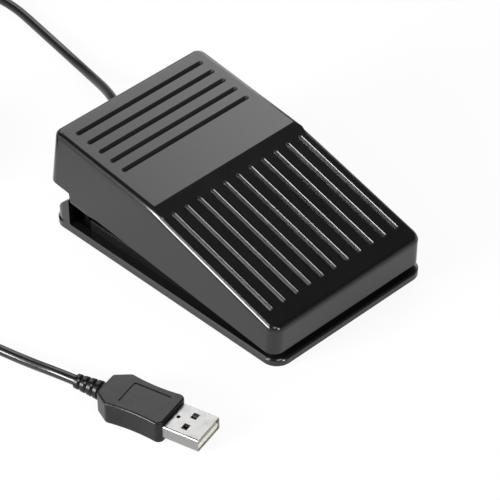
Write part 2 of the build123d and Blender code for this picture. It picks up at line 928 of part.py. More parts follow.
lever_plane = Plane(
    origin=(0, lever_pivot_y, lever_pivot_z),
    x_dir=(0, math.cos(lever_angle), math.sin(lever_angle)),
    z_dir=(1, 0, 0),
)
with BuildPart() as switch_lever:
    with BuildSketch(lever_plane):
        Rectangle(lever_length, lever_sheet, align=(Align.MIN, Align.CENTER))
    extrude(amount=lever_width / 2, both=True)
    with BuildSketch(lever_plane):
        Circle(lever_trunnion_diameter / 2)
    extrude(amount=switch_thickness / 2 - lever_trunnion_setback, both=True)
write(switch_lever, "switch_lever")

with BuildPart() as switch_terminals:
    for y in terminal_places:
        with BuildSketch(Plane.YZ.offset(-terminal_thickness / 2)):
            with Locations((y, switch_bottom)):
                Rectangle(terminal_width, terminal_length, align=(Align.CENTER, Align.MAX))
            with Locations((y, switch_bottom - terminal_length + terminal_hole_rise)):
                Circle(terminal_hole_diameter / 2, mode=Mode.SUBTRACT)
        extrude(amount=terminal_thickness)
write(switch_terminals, "switch_terminals")

# Circuit board

with BuildPart() as circuit_board:
    with BuildSketch(Plane.XY.offset(board_under)):
        with Locations((0, board_y)):
            RectangleRounded(board_length, board_width, board_corner_radius)
        with Locations(*board_holes):
            Circle(board_hole_diameter / 2, mode=Mode.SUBTRACT)
    extrude(amount=board_thickness)
write(circuit_board, "circuit_board")

with BuildPart() as controller_chip:
    with BuildSketch(Plane.XY.offset(board_top + chip_standoff)):
        with Locations((0, chip_y)):
            Rectangle(chip_length, chip_width)
    extrude(amount=chip_height)
    leg_rise = chip_standoff + chip_height / 2
    leg_row_length = (chip_leg_count - 1) * chip_leg_pitch
    for i in range(chip_leg_count):
        leg_x = i * chip_leg_pitch - leg_row_length / 2
        with BuildSketch(Plane.YZ.offset(leg_x - chip_leg_width / 2)):
            for side in (-1, 1):
                with BuildLine():
                    Polyline(
                        (chip_y + side * chip_width / 2, board_top + leg_rise),
                        (chip_y + side * (chip_width + chip_leg_reach) / 2, board_top + leg_rise),
                        (
                            chip_y + side * (chip_width + chip_leg_reach) / 2,
                            board_top + chip_leg_sheet,
                        ),
                        (
                            chip_y + side * (chip_width / 2 + chip_leg_reach),
                            board_top + chip_leg_sheet,
                        ),
                        (chip_y + side * (chip_width / 2 + chip_leg_reach), board_top),
                        (
                            chip_y + side * ((chip_width + chip_leg_reach) / 2 - chip_leg_sheet),
                            board_top,
                        ),
                        (
                            chip_y + side * ((chip_width + chip_leg_reach) / 2 - chip_leg_sheet),
                            board_top + leg_rise - chip_leg_sheet,
                        ),
                        (
                            chip_y + side * chip_width / 2,
                            board_top + leg_rise - chip_leg_sheet,
                        ),
                        close=True,
                    )
                make_face()
        extrude(amount=chip_leg_width)
write(controller_chip, "controller_chip")

with BuildPart() as crystal:
    with BuildSketch(Plane.XY.offset(board_top)):
        with Locations((crystal_x, crystal_y)):
            SlotOverall(crystal_length, crystal_width)
    extrude(amount=crystal_flange_height)
    with BuildSketch(Plane.XY.offset(board_top)):
        with Locations((crystal_x, crystal_y)):
            SlotOverall(crystal_length - 2 * crystal_flange, crystal_width - 2 * crystal_flange)
    extrude(amount=crystal_height)
    fillet(crystal.faces().sort_by(Axis.Z)[-1].edges(), crystal_flange)
write(crystal, "crystal")

with BuildPart() as capacitor:
    with BuildSketch(Plane.XY.offset(board_top)):
        with Locations((can_x, can_y)):
            Rectangle(can_base_size, can_base_size)
    extrude(amount=can_base)
    with BuildSketch(Plane.XY.offset(board_top + can_base)):
        with Locations((can_x, can_y)):
            Circle(can_diameter / 2)
    extrude(amount=can_height - can_base)
    fillet(capacitor.faces().sort_by(Axis.Z)[-1].edges(), can_edge_radius)
write(capacitor, "capacitor")

with BuildPart() as resistors:
    with BuildSketch(Plane.XY.offset(board_top)):
        with Locations((small_part_x, small_part_y)):
            with GridLocations(0, small_part_pitch, 1, small_part_count):
                Rectangle(small_part_length, small_part_width)
    extrude(amount=small_part_height)
write(resistors, "resistors")

with BuildPart() as wire_connector:
    with BuildSketch(Plane.XY.offset(board_top)):
        with Locations((header_x, header_y)):
            Rectangle(header_length, header_width)
    extrude(amount=header_height)
    with BuildSketch(Plane.XY.offset(board_top + header_height)):
        with Locations((header_x, header_y)):
            with GridLocations(conductor_pitch, 0, 4, 1):
                Rectangle(header_slot_width, header_width / 2)
    extrude(amount=-header_slot_depth, mode=Mode.SUBTRACT)
write(wire_connector, "wire_connector")

# Cable clamp and strain relief

with BuildPart() as cable_clamp:
    with BuildSketch(Plane.XY.offset(clamp_bottom)):
        with Locations((exit_x, clamp_y)):
            RectangleRounded(clamp_length, clamp_width, clamp_corner_radius)
        with Locations(*[(x, clamp_y) for x in clamp_screw_places]):
            Circle(board_hole_diameter / 2, mode=Mode.SUBTRACT)
    extrude(amount=clamp_height)
    with BuildSketch(Plane.XZ.offset(-clamp_y)):
        with Locations((exit_x, exit_z)):
            Circle(cable_radius)
    extrude(amount=clamp_width, both=True, mode=Mode.SUBTRACT)
write(cable_clamp, "cable_clamp")


def ringed_tail(start, length, start_radius, end_radius, ring_count, ring_depth, land):
    """The closed outline of a tapering tail with rings, from its axis outwards and back."""
    pitch = (length - land) / ring_count
    slope = (end_radius - start_radius) / length
    points = [(0, start), (start_radius, start)]
    for i in range(ring_count):
        ring_start = start + land + i * pitch
        for share in (0, 1 / 4, 1 / 2):
            along = ring_start + pitch * share
            radius = start_radius + slope * (along - start)
            depth = ring_depth if share == 1 / 4 else 0
            points.append((radius - depth, along))
    points += [(end_radius, start + length), (0, start + length)]
    return points


relief_face = base_rear - cable_boss_setback
tail_start = relief_collar_thickness
relief_tip_y = relief_face + relief_collar_thickness + relief_tail_length
with BuildPart() as strain_relief:
    # local X is the radius and local Y runs out of the housing
    with BuildSketch(Plane(origin=(exit_x, relief_face, exit_z), x_dir=(0, 0, 1), z_dir=(-1, 0, 0))):
        with BuildLine():
            Polyline(
                (0, -cable_boss_length - relief_flange_thickness),
                (relief_flange_diameter / 2, -cable_boss_length - relief_flange_thickness),
                (relief_flange_diameter / 2, -cable_boss_length),
                (relief_neck_diameter / 2, -cable_boss_length),
                (relief_neck_diameter / 2, 0),
                (relief_collar_diameter / 2, 0),
                (relief_collar_diameter / 2, relief_collar_thickness),
                (0, relief_collar_thickness),
                close=True,
            )
        make_face()
        with BuildLine():
            Polyline(
                *ringed_tail(
                    tail_start,
                    relief_tail_length,
                    relief_tail_diameter / 2,
                    relief_tip_diameter / 2,
                    relief_ring_count,
                    relief_ring_depth,
                    relief_tip_land,
                ),
                close=True,
            )
        make_face()
    revolve(axis=Axis((exit_x, relief_face, exit_z), (0, 1, 0)))
    with BuildSketch(Plane.XZ.offset(-relief_tip_y - overrun)):
        with Locations((exit_x, exit_z)):
            Circle(cable_radius)
    extrude(amount=relief_tip_y, mode=Mode.SUBTRACT)
write(strain_relief, "strain_relief")

# Round wires, springs and cables


def corner_radii(points):
    """The largest arc that each corner of a route has room for."""
    radii = []
    for before, corner, after in zip(points, points[1:], points[2:]):
        run_in = corner - before
        run_out = after - corner
        half_turn = math.radians(run_in.get_angle(run_out)) / 2
        radii.append(arc_share * min(run_in.length, run_out.length) / math.tan(half_turn))
    return radii


def routed_tube(name, route, diameter):
    """A tube along straight runs joined by arcs, with a check of its volume."""
    points = [Vector(*point) for point in route]
    radii = corner_radii(points)
    with BuildPart() as tube:
        with BuildLine() as path:
            FilletPolyline(*points, radius=radii)
        centreline = path.wire()
        with BuildSketch(centreline ^ 0):
            Circle(diameter / 2)
        sweep()
    expected = math.pi * diameter**2 / 4 * centreline.length
    print(
        f"{name}: {centreline.length:.1f} mm long, volume {tube.part.volume / expected:.4f} of"
        f" section times length, radii {[round(radius, 1) for radius in radii]}"
    )
    return tube, centreline.length


def biarc(start, start_heading, end, end_heading):
    """Two tangent arcs between two points with given headings."""
    chord = end - start
    total = start_heading + end_heading
    spread = 2 * (1 - start_heading.dot(end_heading))
    along = chord.dot(total)
    reach = (math.sqrt(along**2 + spread * chord.dot(chord)) - along) / spread
    joint = (start + start_heading * reach + end - end_heading * reach) / 2
    first = TangentArc(start, joint, tangent=start_heading)
    TangentArc(joint, end, tangent=first % 1)


def wound_tube(name, place, heading, turns, steps_per_turn, diameter, stub):
    """A tube wound along place(turn), with a straight stub at each end and its least self gap."""
    steps = math.ceil(turns * steps_per_turn)
    stations = [turns * i / steps for i in range(steps + 1)]
    with BuildPart() as tube:
        with BuildLine() as path:
            if stub > 0:
                Line(place(0) - heading(0) * stub, place(0))
            for here, there in zip(stations, stations[1:]):
                biarc(place(here), heading(here), place(there), heading(there))
            if stub > 0:
                Line(place(turns), place(turns) + heading(turns) * stub)
        centreline = path.wire()
        with BuildSketch(centreline ^ 0):
            Circle(diameter / 2)
        sweep()
    count = math.ceil(turns * gap_samples_per_turn)
    samples = [place(i / gap_samples_per_turn) for i in range(count)]
    least = min(
        (samples[i] - samples[j]).length
        for i in range(count)
        for j in range(i + gap_samples_per_turn // 2, count)
    )
    expected = math.pi * diameter**2 / 4 * centreline.length
    print(
        f"{name}: {centreline.length:.1f} mm long, volume {tube.part.volume / expected:.4f} of"
        f" section times length, least gap to itself {least - diameter:.2f} mm"
    )
    return tube, centreline.length


# Return springs

spring_mean_radius = (spring_diameter - spring_wire) / 2
spring_bottom_z = floor_z + spring_wire * (1 / 2 - spring_ground_share)
spring_rise = spring_height - part_gap - spring_wire * (1 - 2 * spring_ground_share)


def spring_place(x, turn):
    """The middle of the spring's wire after some turns."""
    angle = 2 * math.pi * turn
    return Vector(
        x + spring_mean_radius * math.cos(angle),
        spring_y + spring_mean_radius * math.sin(angle),
        spring_bottom_z + spring_rise * turn / spring_turns,
    )


def spring_heading(turn):
    """The way the spring's wire points after some turns."""
    angle = 2 * math.pi * turn
    around = 2 * math.pi * spring_mean_radius
    return Vector(
        -around * math.sin(angle), around * math.cos(angle), spring_rise / spring_turns
    ).normalized()


for side, x in zip(("left", "right"), spring_places):
    return_spring, _ = wound_tube(
        f"return_spring_{side}",
        lambda turn: spring_place(x, turn),
        spring_heading,
        spring_turns,
        coil_steps_per_turn,
        spring_wire,
        0,
    )
    with BuildPart() as ground_spring:
        add(return_spring.part)
        with Locations((x, spring_y, floor_z)):
            Cylinder(
                spring_diameter,
                spring_height - part_gap,
                align=(Align.CENTER, Align.CENTER, Align.MIN),
                mode=Mode.INTERSECT,
            )
    write(ground_spring, f"return_spring_{side}")

# Wires inside the housing

conductor_places = {
    "red": (-1, 1),
    "white": (-1, -1),
    "green": (1, 1),
    "black": (1, -1),
}
conductor_offset = (conductor_diameter + conductor_gap) / 2
for i, (colour, (side, level)) in enumerate(conductor_places.items()):
    start_x = exit_x + side * conductor_offset
    header_pin_x = header_x + (i - (len(conductor_places) - 1) / 2) * conductor_pitch
    corridor_x = header_pin_x + conductor_corridor_x - header_x
    rise = level * conductor_offset
    header_z = board_top + header_height / 2
    header_rear = header_y + header_width / 2
    conductor, _ = routed_tube(
        f"conductor_{colour}",
        (
            (start_x, jacket_end_y, exit_z + rise),
            (start_x, jacket_end_y - conductor_lead, exit_z + rise),
            (corridor_x, conductor_corridor_start_y, exit_z + rise),
            (corridor_x, conductor_corridor_end_y, header_z + rise),
            (header_pin_x, header_rear + conductor_lead, header_z + rise),
            (header_pin_x, header_rear, header_z + rise),
        ),
        conductor_diameter,
    )
    write(conductor, f"conductor_{colour}")

switch_wire_z = switch_bottom - terminal_length + terminal_hole_rise
for i, name in enumerate(("switch_wire_common", "switch_wire_signal")):
    start_y = terminal_places[i]
    wire_x = switch_wire_x - i * switch_wire_pitch
    wire, _ = routed_tube(
        name,
        (
            (-terminal_thickness / 2, start_y, switch_wire_z),
            (wire_x + switch_wire_diameter, start_y, switch_wire_z),
            (wire_x, start_y - switch_wire_lift, switch_wire_z + switch_wire_diameter),
            (wire_x, switch_wire_end_y + switch_wire_lift, board_top + switch_wire_lift),
            (wire_x, switch_wire_end_y, board_top + switch_wire_lift),
            (wire_x, switch_wire_end_y, board_top),
        ),
        switch_wire_diameter,
    )
    write(wire, name)

# Cable

with BuildPart() as cable_inside:
    with BuildSketch(Plane.XZ.offset(-jacket_end_y)):
        with Locations((exit_x, exit_z)):
            Circle(cable_radius)
    extrude(amount=-(relief_tip_y - jacket_end_y))
write(cable_inside, "cable_inside")

turn_share = ((coil_exit_angle - coil_entry_angle) % 360) / 360
coil_turns = coil_full_turns + turn_share
layer_turns = coil_turns / coil_layers
coil_inner_radius = coil_mean_radius - layer_turns * coil_pitch / 2
coil_outer_radius = coil_mean_radius + layer_turns * coil_pitch / 2
coil_bottom_z = cable_radius + tie_sheet + tie_slack
coil_top_z = coil_bottom_z + (coil_layers - 1) * coil_layer_rise


def layer_of(turn):
    """The layer that a turn lies in, and how many turns of that layer came before it."""
    layer = min(int(turn / layer_turns), coil_layers - 1)
    return layer, turn - layer * layer_turns


def coil_radius(turn):
    """The radius of the coil, which spirals in and out again layer by layer."""
    layer, inside = layer_of(turn)
    if layer % 2:
        return coil_inner_radius + coil_pitch * inside
    return coil_outer_radius - coil_pitch * inside


def climb(turn):
    """How many layers the coil has climbed, and its rate of climb, each in half a turn."""
    height, rate = 0, 0
    for layer in range(1, coil_layers):
        share = min(max((turn - layer * layer_turns) * 2 + 1 / 2, 0), 1)
        height += share**2 * (3 - 2 * share)
        rate += 2 * 6 * share * (1 - share)
    return height, rate


def coil_place(turn):
    """The middle of the cable after some turns of the coil."""
    angle = math.radians(coil_entry_angle) + 2 * math.pi * turn
    return Vector(
        coil_x + coil_radius(turn) * math.cos(angle),
        coil_y + coil_radius(turn) * math.sin(angle),
        coil_bottom_z + coil_layer_rise * climb(turn)[0],
    )


def coil_heading(turn):
    """The way the cable points after some turns of the coil."""
    angle = math.radians(coil_entry_angle) + 2 * math.pi * turn
    layer, inside = layer_of(turn)
    reversal = 0 < layer + inside and min(inside, layer_turns - inside) < 1 / gap_samples_per_turn
    at_end = turn in (0, coil_turns)
    outwards = 0 if reversal and not at_end else coil_pitch * (1 if layer % 2 else -1)
    around = 2 * math.pi * coil_radius(turn)
    return Vector(
        outwards * math.cos(angle) - around * math.sin(angle),
        outwards * math.sin(angle) + around * math.cos(angle),
        coil_layer_rise * climb(turn)[1],
    ).normalized()


cable_coil, coil_length = wound_tube(
    "cable_coil",
    coil_place,
    coil_heading,
    coil_turns,
    coil_steps_per_turn,
    cable_diameter,
    coil_stub,
)
write(cable_coil, "cable_coil")

coil_start = coil_place(0) - coil_heading(0) * coil_stub
coil_end = coil_place(coil_turns) + coil_heading(coil_turns) * coil_stub
rear_run_start = Vector(exit_x, relief_tip_y, exit_z)
rear_route = [
    rear_run_start,
    (17.0, 73.5, exit_z),
    (21.8, 84.5, 5.5),
    (25.2, 95.0, 3.2),
    (28.3, 107.0, cable_radius),
    (32.3, 130.6, cable_radius),
    (35.3, 148.6, cable_radius),
    (33.4, 164.0, cable_radius),
    (23.6, 175.6, cable_radius),
    (9.4, 180.8, cable_radius),
    (-8.5, 178.6, cable_radius),
    (-28.5, 165.2, cable_radius),
    (-46.0, 149.6, cable_radius),
    coil_start - coil_heading(0) * coil_lead_in,
    coil_start,
]
cable_rear_run, rear_length = routed_tube("cable_rear_run", rear_route, cable_diameter)
write(cable_rear_run, "cable_rear_run")

plug_angle = math.radians(plug_heading)
plug_frame = Plane(
    origin=(plug_x, plug_y, mould_thickness / 2),
    x_dir=(math.cos(plug_angle), math.sin(plug_angle), 0),
    z_dir=(math.sin(plug_angle), -math.cos(plug_angle), 0),
)
plug_route = [
    coil_end,
    coil_end + coil_heading(coil_turns) * coil_lead_out,
    (-84.9, 78.0, 11.2),
    (-87.8, 64.0, 5.8),
    (-89.3, 50.0, 2.6),
    (-89.4, 38.0, cable_radius),
    (-88.0, 26.0, cable_radius),
    (-85.6, 15.0, cable_radius),
    (-83.5, 4.0, 2.2),
    plug_frame.origin - plug_frame.z_dir * plug_lead,
    plug_frame.origin,
]
cable_plug_run, plug_run_length = routed_tube("cable_plug_run", plug_route, cable_diameter)
write(cable_plug_run, "cable_plug_run")
cable_length = (
    relief_tip_y - jacket_end_y + rear_length + coil_length + plug_run_length
)
print(f"cable: {cable_length:.0f} mm long in all")

with BuildPart() as cable_ties:
    bundle_width = coil_outer_radius - coil_inner_radius + cable_diameter + 2 * tie_slack
    bundle_height = coil_top_z + cable_radius + tie_slack - tie_sheet
    for angle in (tie_angle, tie_angle + 180):
        tie_plane = Plane(
            origin=(
                coil_x + coil_mean_radius * math.cos(math.radians(angle)),
                coil_y + coil_mean_radius * math.sin(math.radians(angle)),
                tie_sheet + bundle_height / 2,
            ),
            x_dir=(math.cos(math.radians(angle)), math.sin(math.radians(angle)), 0),
            z_dir=(math.sin(math.radians(angle)), -math.cos(math.radians(angle)), 0),
        )
        with BuildSketch(tie_plane):
            RectangleRounded(
                bundle_width + 2 * tie_sheet, bundle_height + 2 * tie_sheet, tie_corner_radius
            )
            RectangleRounded(
                bundle_width, bundle_height, tie_corner_radius - tie_sheet, mode=Mode.SUBTRACT
            )
        extrude(amount=tie_width / 2, both=True)
write(cable_ties, "cable_ties")

# USB-A plug

mould_front = boot_length + mould_length
mouth = mould_front + shell_length
with BuildPart() as plug_overmould:
    # local X is the width and local Y the length, seen from above
    plug_plan = Plane(origin=plug_frame.origin, x_dir=plug_frame.x_dir, z_dir=(0, 0, -1))
    with BuildSketch(plug_plan):
        with BuildLine():
            # each side curves in to a waist for the fingers
            for side in (-1, 1):
                Line(
                    (side * mould_rear_width / 2, boot_length),
                    (side * mould_width / 2, boot_length + mould_rear_taper),
                )
                ThreePointArc(
                    (side * mould_width / 2, boot_length + mould_rear_taper),
                    (side * (mould_width / 2 - mould_waist), mould_front - mould_waist_from_front),
                    (side * mould_width / 2, mould_front),
                )
            Line((-mould_width / 2, mould_front), (mould_width / 2, mould_front))
            Line((-mould_rear_width / 2, boot_length), (mould_rear_width / 2, boot_length))
        make_face()
        fillet(vertices().sort_by(Axis(plug_frame.origin, plug_frame.z_dir))[:-2], mould_corner_radius)
        front_corners = vertices().sort_by(Axis(plug_frame.origin, plug_frame.z_dir))[-2:]
        fillet(front_corners, mould_front_corner_radius)
    extrude(amount=mould_thickness / 2, both=True)
    flat_faces = plug_overmould.faces().filter_by(Axis.Z)
    fillet(flat_faces.edges(), mould_edge_radius)
    with BuildSketch(plug_plan.offset(-mould_thickness / 2)):
        with Locations((0, mould_front - mould_panel_from_front - mould_panel_length / 2)):
            RectangleRounded(mould_panel_width, mould_panel_length, mould_edge_radius)
    extrude(amount=mould_panel_depth, mode=Mode.SUBTRACT)
    # ringed tail on the cable
    with BuildSketch(Plane(origin=plug_frame.origin, x_dir=plug_frame.x_dir, z_dir=(0, 0, -1))):
        with BuildLine():
            Polyline(
                *ringed_tail(
                    0,
                    boot_length + mould_edge_radius,
                    boot_start_diameter / 2,
                    boot_end_diameter / 2,
                    boot_ring_count,
                    boot_ring_depth,
                    relief_tip_land,
                ),
                close=True,
            )
        make_face()
    revolve(axis=Axis(plug_frame.origin, plug_frame.z_dir))
    # pocket for the root of the metal shell
    with BuildSketch(plug_frame.offset(mould_front)):
        RectangleRounded(
            shell_width + 2 * shell_fit, shell_height + 2 * shell_fit, shell_corner_radius
        )
    extrude(amount=-shell_root, mode=Mode.SUBTRACT)
write(plug_overmould, "plug_overmould")

with BuildPart() as plug_shell:
    with BuildSketch(plug_frame.offset(mould_front - shell_root)):
        RectangleRounded(shell_width, shell_height, shell_corner_radius)
        RectangleRounded(
            shell_width - 2 * shell_sheet,
            shell_height - 2 * shell_sheet,
            shell_corner_radius - shell_sheet,
            mode=Mode.SUBTRACT,
        )
    extrude(amount=shell_length + shell_root)
    with BuildSketch(plug_plan):
        with Locations((0, mouth - window_from_mouth)):
            with GridLocations(window_spacing, 0, 2, 1):
                Rectangle(window_width, window_length)
    extrude(amount=shell_height, both=True, mode=Mode.SUBTRACT)
    # round mark near the root, through the upper sheet only
    with BuildSketch(plug_plan):
        with Locations((0, mouth - seam_mark_from_mouth)):
            Circle(seam_mark_diameter / 2)
    extrude(amount=-shell_height, mode=Mode.SUBTRACT)
write(plug_shell, "plug_shell")

insert_width = shell_width - 2 * shell_sheet - 2 * insert_fit
insert_bottom = shell_sheet + insert_fit - shell_height / 2
with BuildPart() as plug_insert:
    with BuildSketch(plug_frame.offset(mould_front - shell_root)):
        with Locations((0, insert_bottom)):
            Rectangle(insert_width, insert_thickness, align=(Align.CENTER, Align.MIN))
    extrude(amount=shell_length + shell_root - insert_setback)
    lower_edges = plug_insert.edges().filter_by(Axis(plug_frame.origin, plug_frame.z_dir))
    chamfer(lower_edges.group_by(Axis.Z)[0], shell_corner_radius - shell_sheet)
write(plug_insert, "plug_insert")

with BuildPart() as plug_contacts:
    for length, spacing in (
        (contact_long, contact_outer_spacing),
        (contact_short, contact_inner_spacing),
    ):
        with BuildSketch(plug_frame.offset(mouth - insert_setback - contact_from_tip)):
            with Locations((0, insert_bottom + insert_thickness)):
                with GridLocations(spacing, 0, 2, 1):
                    Rectangle(contact_width, contact_sheet, align=(Align.CENTER, Align.MIN))
        extrude(amount=-length)
write(plug_contacts, "plug_contacts")
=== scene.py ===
"""The looks of a small grooved foot pedal with its cable and plug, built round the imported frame."""

import json
import math

import bmesh
import bpy
from mathutils import Matrix, Vector

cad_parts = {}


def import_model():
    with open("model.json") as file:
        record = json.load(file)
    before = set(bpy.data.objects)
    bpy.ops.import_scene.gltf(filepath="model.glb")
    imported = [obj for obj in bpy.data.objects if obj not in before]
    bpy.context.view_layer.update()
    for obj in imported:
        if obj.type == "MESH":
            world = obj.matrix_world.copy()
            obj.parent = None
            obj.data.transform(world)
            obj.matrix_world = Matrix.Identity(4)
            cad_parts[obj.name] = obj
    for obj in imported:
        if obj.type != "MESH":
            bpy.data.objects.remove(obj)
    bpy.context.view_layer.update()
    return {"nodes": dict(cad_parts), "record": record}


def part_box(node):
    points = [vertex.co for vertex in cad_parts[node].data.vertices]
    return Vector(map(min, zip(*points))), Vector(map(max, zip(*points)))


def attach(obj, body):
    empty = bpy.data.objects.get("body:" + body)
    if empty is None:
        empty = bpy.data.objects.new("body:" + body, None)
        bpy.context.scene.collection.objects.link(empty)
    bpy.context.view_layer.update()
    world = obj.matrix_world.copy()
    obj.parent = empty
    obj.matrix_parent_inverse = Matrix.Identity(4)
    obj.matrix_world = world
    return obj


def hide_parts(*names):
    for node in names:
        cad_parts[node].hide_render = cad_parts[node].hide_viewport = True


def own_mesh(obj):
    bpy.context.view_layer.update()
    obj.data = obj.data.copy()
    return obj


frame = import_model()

MM = 0.001
WHITE = (1.0, 1.0, 1.0, 1.0)

# View, fitted to the photograph: angles in degrees, lengths in metres, the sensor in millimetres
VIEW_AZIMUTH = -43.66
VIEW_ELEVATION = 39.88
VIEW_ROLL = -0.92
VIEW_TARGET = Vector((-10.96, -17.66, 15.8)) * MM
VIEW_DISTANCE = 917.8 * MM
FOCAL_LENGTH_IN_FRAMES = 2993.27 / 500
SENSOR_WIDTH = 36.0

# Sizes of the construction that the pieces here repeat, in millimetres and degrees
CABLE_DIAMETER = 3.3
CABLE_RADIUS = CABLE_DIAMETER / 2
EXIT = Vector((17.0, 65.7, 7.2))
COIL_CENTRE = Vector((-58.0, 108.0))
COIL_MEAN_RADIUS = 18.5
COIL_PITCH = 3.8
COIL_LAYERS = 4
COIL_ENTRY_ANGLE = 128.0
COIL_EXIT_ANGLE = 180.0
COIL_FULL_TURNS = 12
COIL_POINTS_PER_TURN = 16
COIL_STUB = 3.3
TIE_SHEET = 0.6
TIE_SLACK = 0.3
PLUG_START = Vector((-79.85, -14.4, 3.9))
PLUG_HEADING = 14.7
SPRING_PLACES = {"return_spring_left": -20.5, "return_spring_right": 20.5}
SPRING_Y = 21.0
SPRING_TURNS = 6
SPRING_WIRE = 0.9
SPRING_DIAMETER = 7.6
COVER_ORIGIN = Vector((0.0, -49.6, 5.0))
COVER_TILT = 5.66
COVER_FRONT_HEIGHT = 10.0
COVER_KNEE_HEIGHT = 20.8
COVER_REAR_HEIGHT = 22.2
COVER_KNEE_DISTANCE = 56.3
COVER_LENGTH = 102.4
COVER_EDGE_RADIUS = 1.8
GROOVE_DEPTH = 0.9
GROOVE_BEND = 0.62

# Both rows of grooves. The cuts and the bend are distances from a groove's middle. Its walls are
# steep from the roof down to the bend and gentle from there on.
FRONT_GROOVES = {
    "lengthwise": True,
    "count": 11,
    "pitch": 5.43,
    "length": 45.3,
    "from_knee": 4.9,
    "cuts": (0.0, -GROOVE_BEND, GROOVE_BEND),
    "bend": GROOVE_BEND,
    "steep": 1.8,
    "gentle": 0.84,
}
REAR_GROOVES = {
    "lengthwise": False,
    "count": 5,
    "pitch": 5.29,
    "length": 54.0,
    "from_knee": 17.6,
    "cuts": (0.0,),
    "bend": 0.0,
    "steep": 1.0,
    "gentle": 0.0,
}
GROOVE_REACH = GROOVE_DEPTH * 1.05
GROOVE_HALF_WIDTH = GROOVE_DEPTH * 1.02

# Limits by which the meshes are worked on, in millimetres and degrees
MERGED_BELOW = 0.002
FLAT_BELOW = 0.15
ON_ROOF = 0.02
ON_KNEE = 0.05
ON_CUT = 0.001
RIM_BEYOND = 29.5
RIM_NEAR_FRONT = 5.0
RIM_ANGLE = 50.0
SHARP_ANGLE = 34.0

RIM_SEGMENTS = 10

SLOT_OF = {row["node"]: row["material_slot"] for row in frame["record"]["subparts"]}
BODY_OF = {
    node: body for body, nodes in frame["record"]["behaviour"]["bodies"].items() for node in nodes
}


# Shader expressions


class Value:
    """One output of a shader tree. Sums and products of values add their Math nodes."""

    def __init__(self, finish, socket):
        self.finish = finish
        self.socket = socket

    def math(self, operation, *others):
        """A Math node on this value and others."""
        return self.finish.node("Math", {"operation": operation}, dict(enumerate((self, *others))))

    def __add__(self, other):
        return self.math("ADD", other)

    def __sub__(self, other):
        return self.math("SUBTRACT", other)

    def __rsub__(self, other):
        return self.finish.node("Math", {"operation": "SUBTRACT"}, {0: other, 1: self})

    def __mul__(self, other):
        return self.math("MULTIPLY", other)

    def __truediv__(self, other):
        return self.math("DIVIDE", other)

    __radd__ = __add__
    __rmul__ = __mul__


class Finish:
    """A node material, or the world's shader, put together from expressions."""

    def __init__(self, name, owner=None):
        self.owner = owner or bpy.data.materials.new(name)
        self.owner.use_nodes = True
        self.tree = self.owner.node_tree
        self.tree.nodes.clear()

    def node(self, kind, settings=None, inputs=None, output=0):
        """Adds a node with its settings, links or sets its inputs, and returns one output."""
        made = self.tree.nodes.new("ShaderNode" + kind)
        for key, setting in (settings or {}).items():
            setattr(made, key, setting)
        for key, given in (inputs or {}).items():
            if isinstance(given, Value):
                self.tree.links.new(given.socket, made.inputs[key])
            else:
                made.inputs[key].default_value = given
        return Value(self, made.outputs[output]) if made.outputs else made

    def place(self, stretch=(1, 1, 1)):
        """Object coordinates in metres, stretched along the axes."""
        coordinates = self.node("TexCoord", output="Object")
        return self.node("Mapping", None, {"Vector": coordinates, "Scale": stretch})

    def noise(self, grain, detail=2.0, roughness=0.5, stretch=(1, 1, 1)):
        """Noise from 0 to 1 whose lumps are about that many millimetres."""
        return self.node(
            "TexNoise",
            None,
            {
                "Vector": self.place(stretch),
                "Scale": 1 / (grain * MM),
                "Detail": detail,
                "Roughness": roughness,
            },
        )

    def ramp(self, value, low, high):
        """Rises smoothly from 0 to 1 as a value goes from one limit to the other."""
        return self.node(
            "MapRange",
            {"interpolation_type": "SMOOTHSTEP"},
            {"Value": value, "From Min": low, "From Max": high},
        )

    def mix(self, share, first, second):
        """A Mix of two colours, the second by its share."""
        return self.node(
            "Mix", {"data_type": "RGBA"}, {0: share, 6: first, 7: second}, output=2
        )

    def bump(self, height, depth, normal=None):
        """A Bump node that reads a height from 0 to 1 as that many millimetres."""
        inputs = {"Height": height, "Distance": depth * MM, "Strength": 1.0}
        if normal:
            inputs["Normal"] = normal
        return self.node("Bump", None, inputs)

    def surface(self, **inputs):
        """Finishes the material with a Principled surface, whose inputs are named with _."""
        named = {key.replace("_", " "): given for key, given in inputs.items()}
        shader = self.node("BsdfPrincipled", None, named)
        self.node("OutputMaterial", None, {"Surface": shader})
        return self.owner


def grey(level, tint=(1.0, 1.0, 1.0)):
    """A grey of that level, or the same tinted."""
    return tuple(level * part for part in tint) + (1.0,)


def times(colour, tone):
    """A colour made lighter or darker."""
    return grey(tone, colour[:3])


# Finishes


# Grains, depths and the board's tracks are in millimetres. An edge is the pair of levels between
# which a pattern fades in. A tone is what it multiplies the colour by. The rest is how much it
# counts in the colour or the roughness.
PLASTIC_IOR = 1.5
RUBBER_IOR = 1.36

HANDLING_GRAIN = 14.0
HANDLING_IN_COLOUR = 0.35
HANDLING_IN_ROUGHNESS = 0.10
HANDLED_TONE = 1.35
TEXTURE_IN_ROUGHNESS = 0.06
DUST_GRAIN = 0.5
DUST_EDGE = (0.7, 0.82)
DUST_IN_COLOUR = 0.05
DUST_LEVEL = 0.35

PORE_GRAIN = 0.16
PORE_DEPTH = 0.008
PORE_IN_ROUGHNESS = 0.05
BLOOM_GRAIN = 5.0
BLOOM_EDGE = (0.45, 0.75)
BLOOM_IN_COLOUR = 0.25
BLOOM_IN_ROUGHNESS = 0.08
BLOOM_TONE = 1.8

WAVE_GRAIN = 2.6
WAVE_DEPTH = 0.006
WAVE_IN_COLOUR = 0.4
WAVE_TONE = 1.3
SKIN_GRAIN = 0.25
SKIN_DEPTH = 0.004
SKIN_IN_ROUGHNESS = 0.12

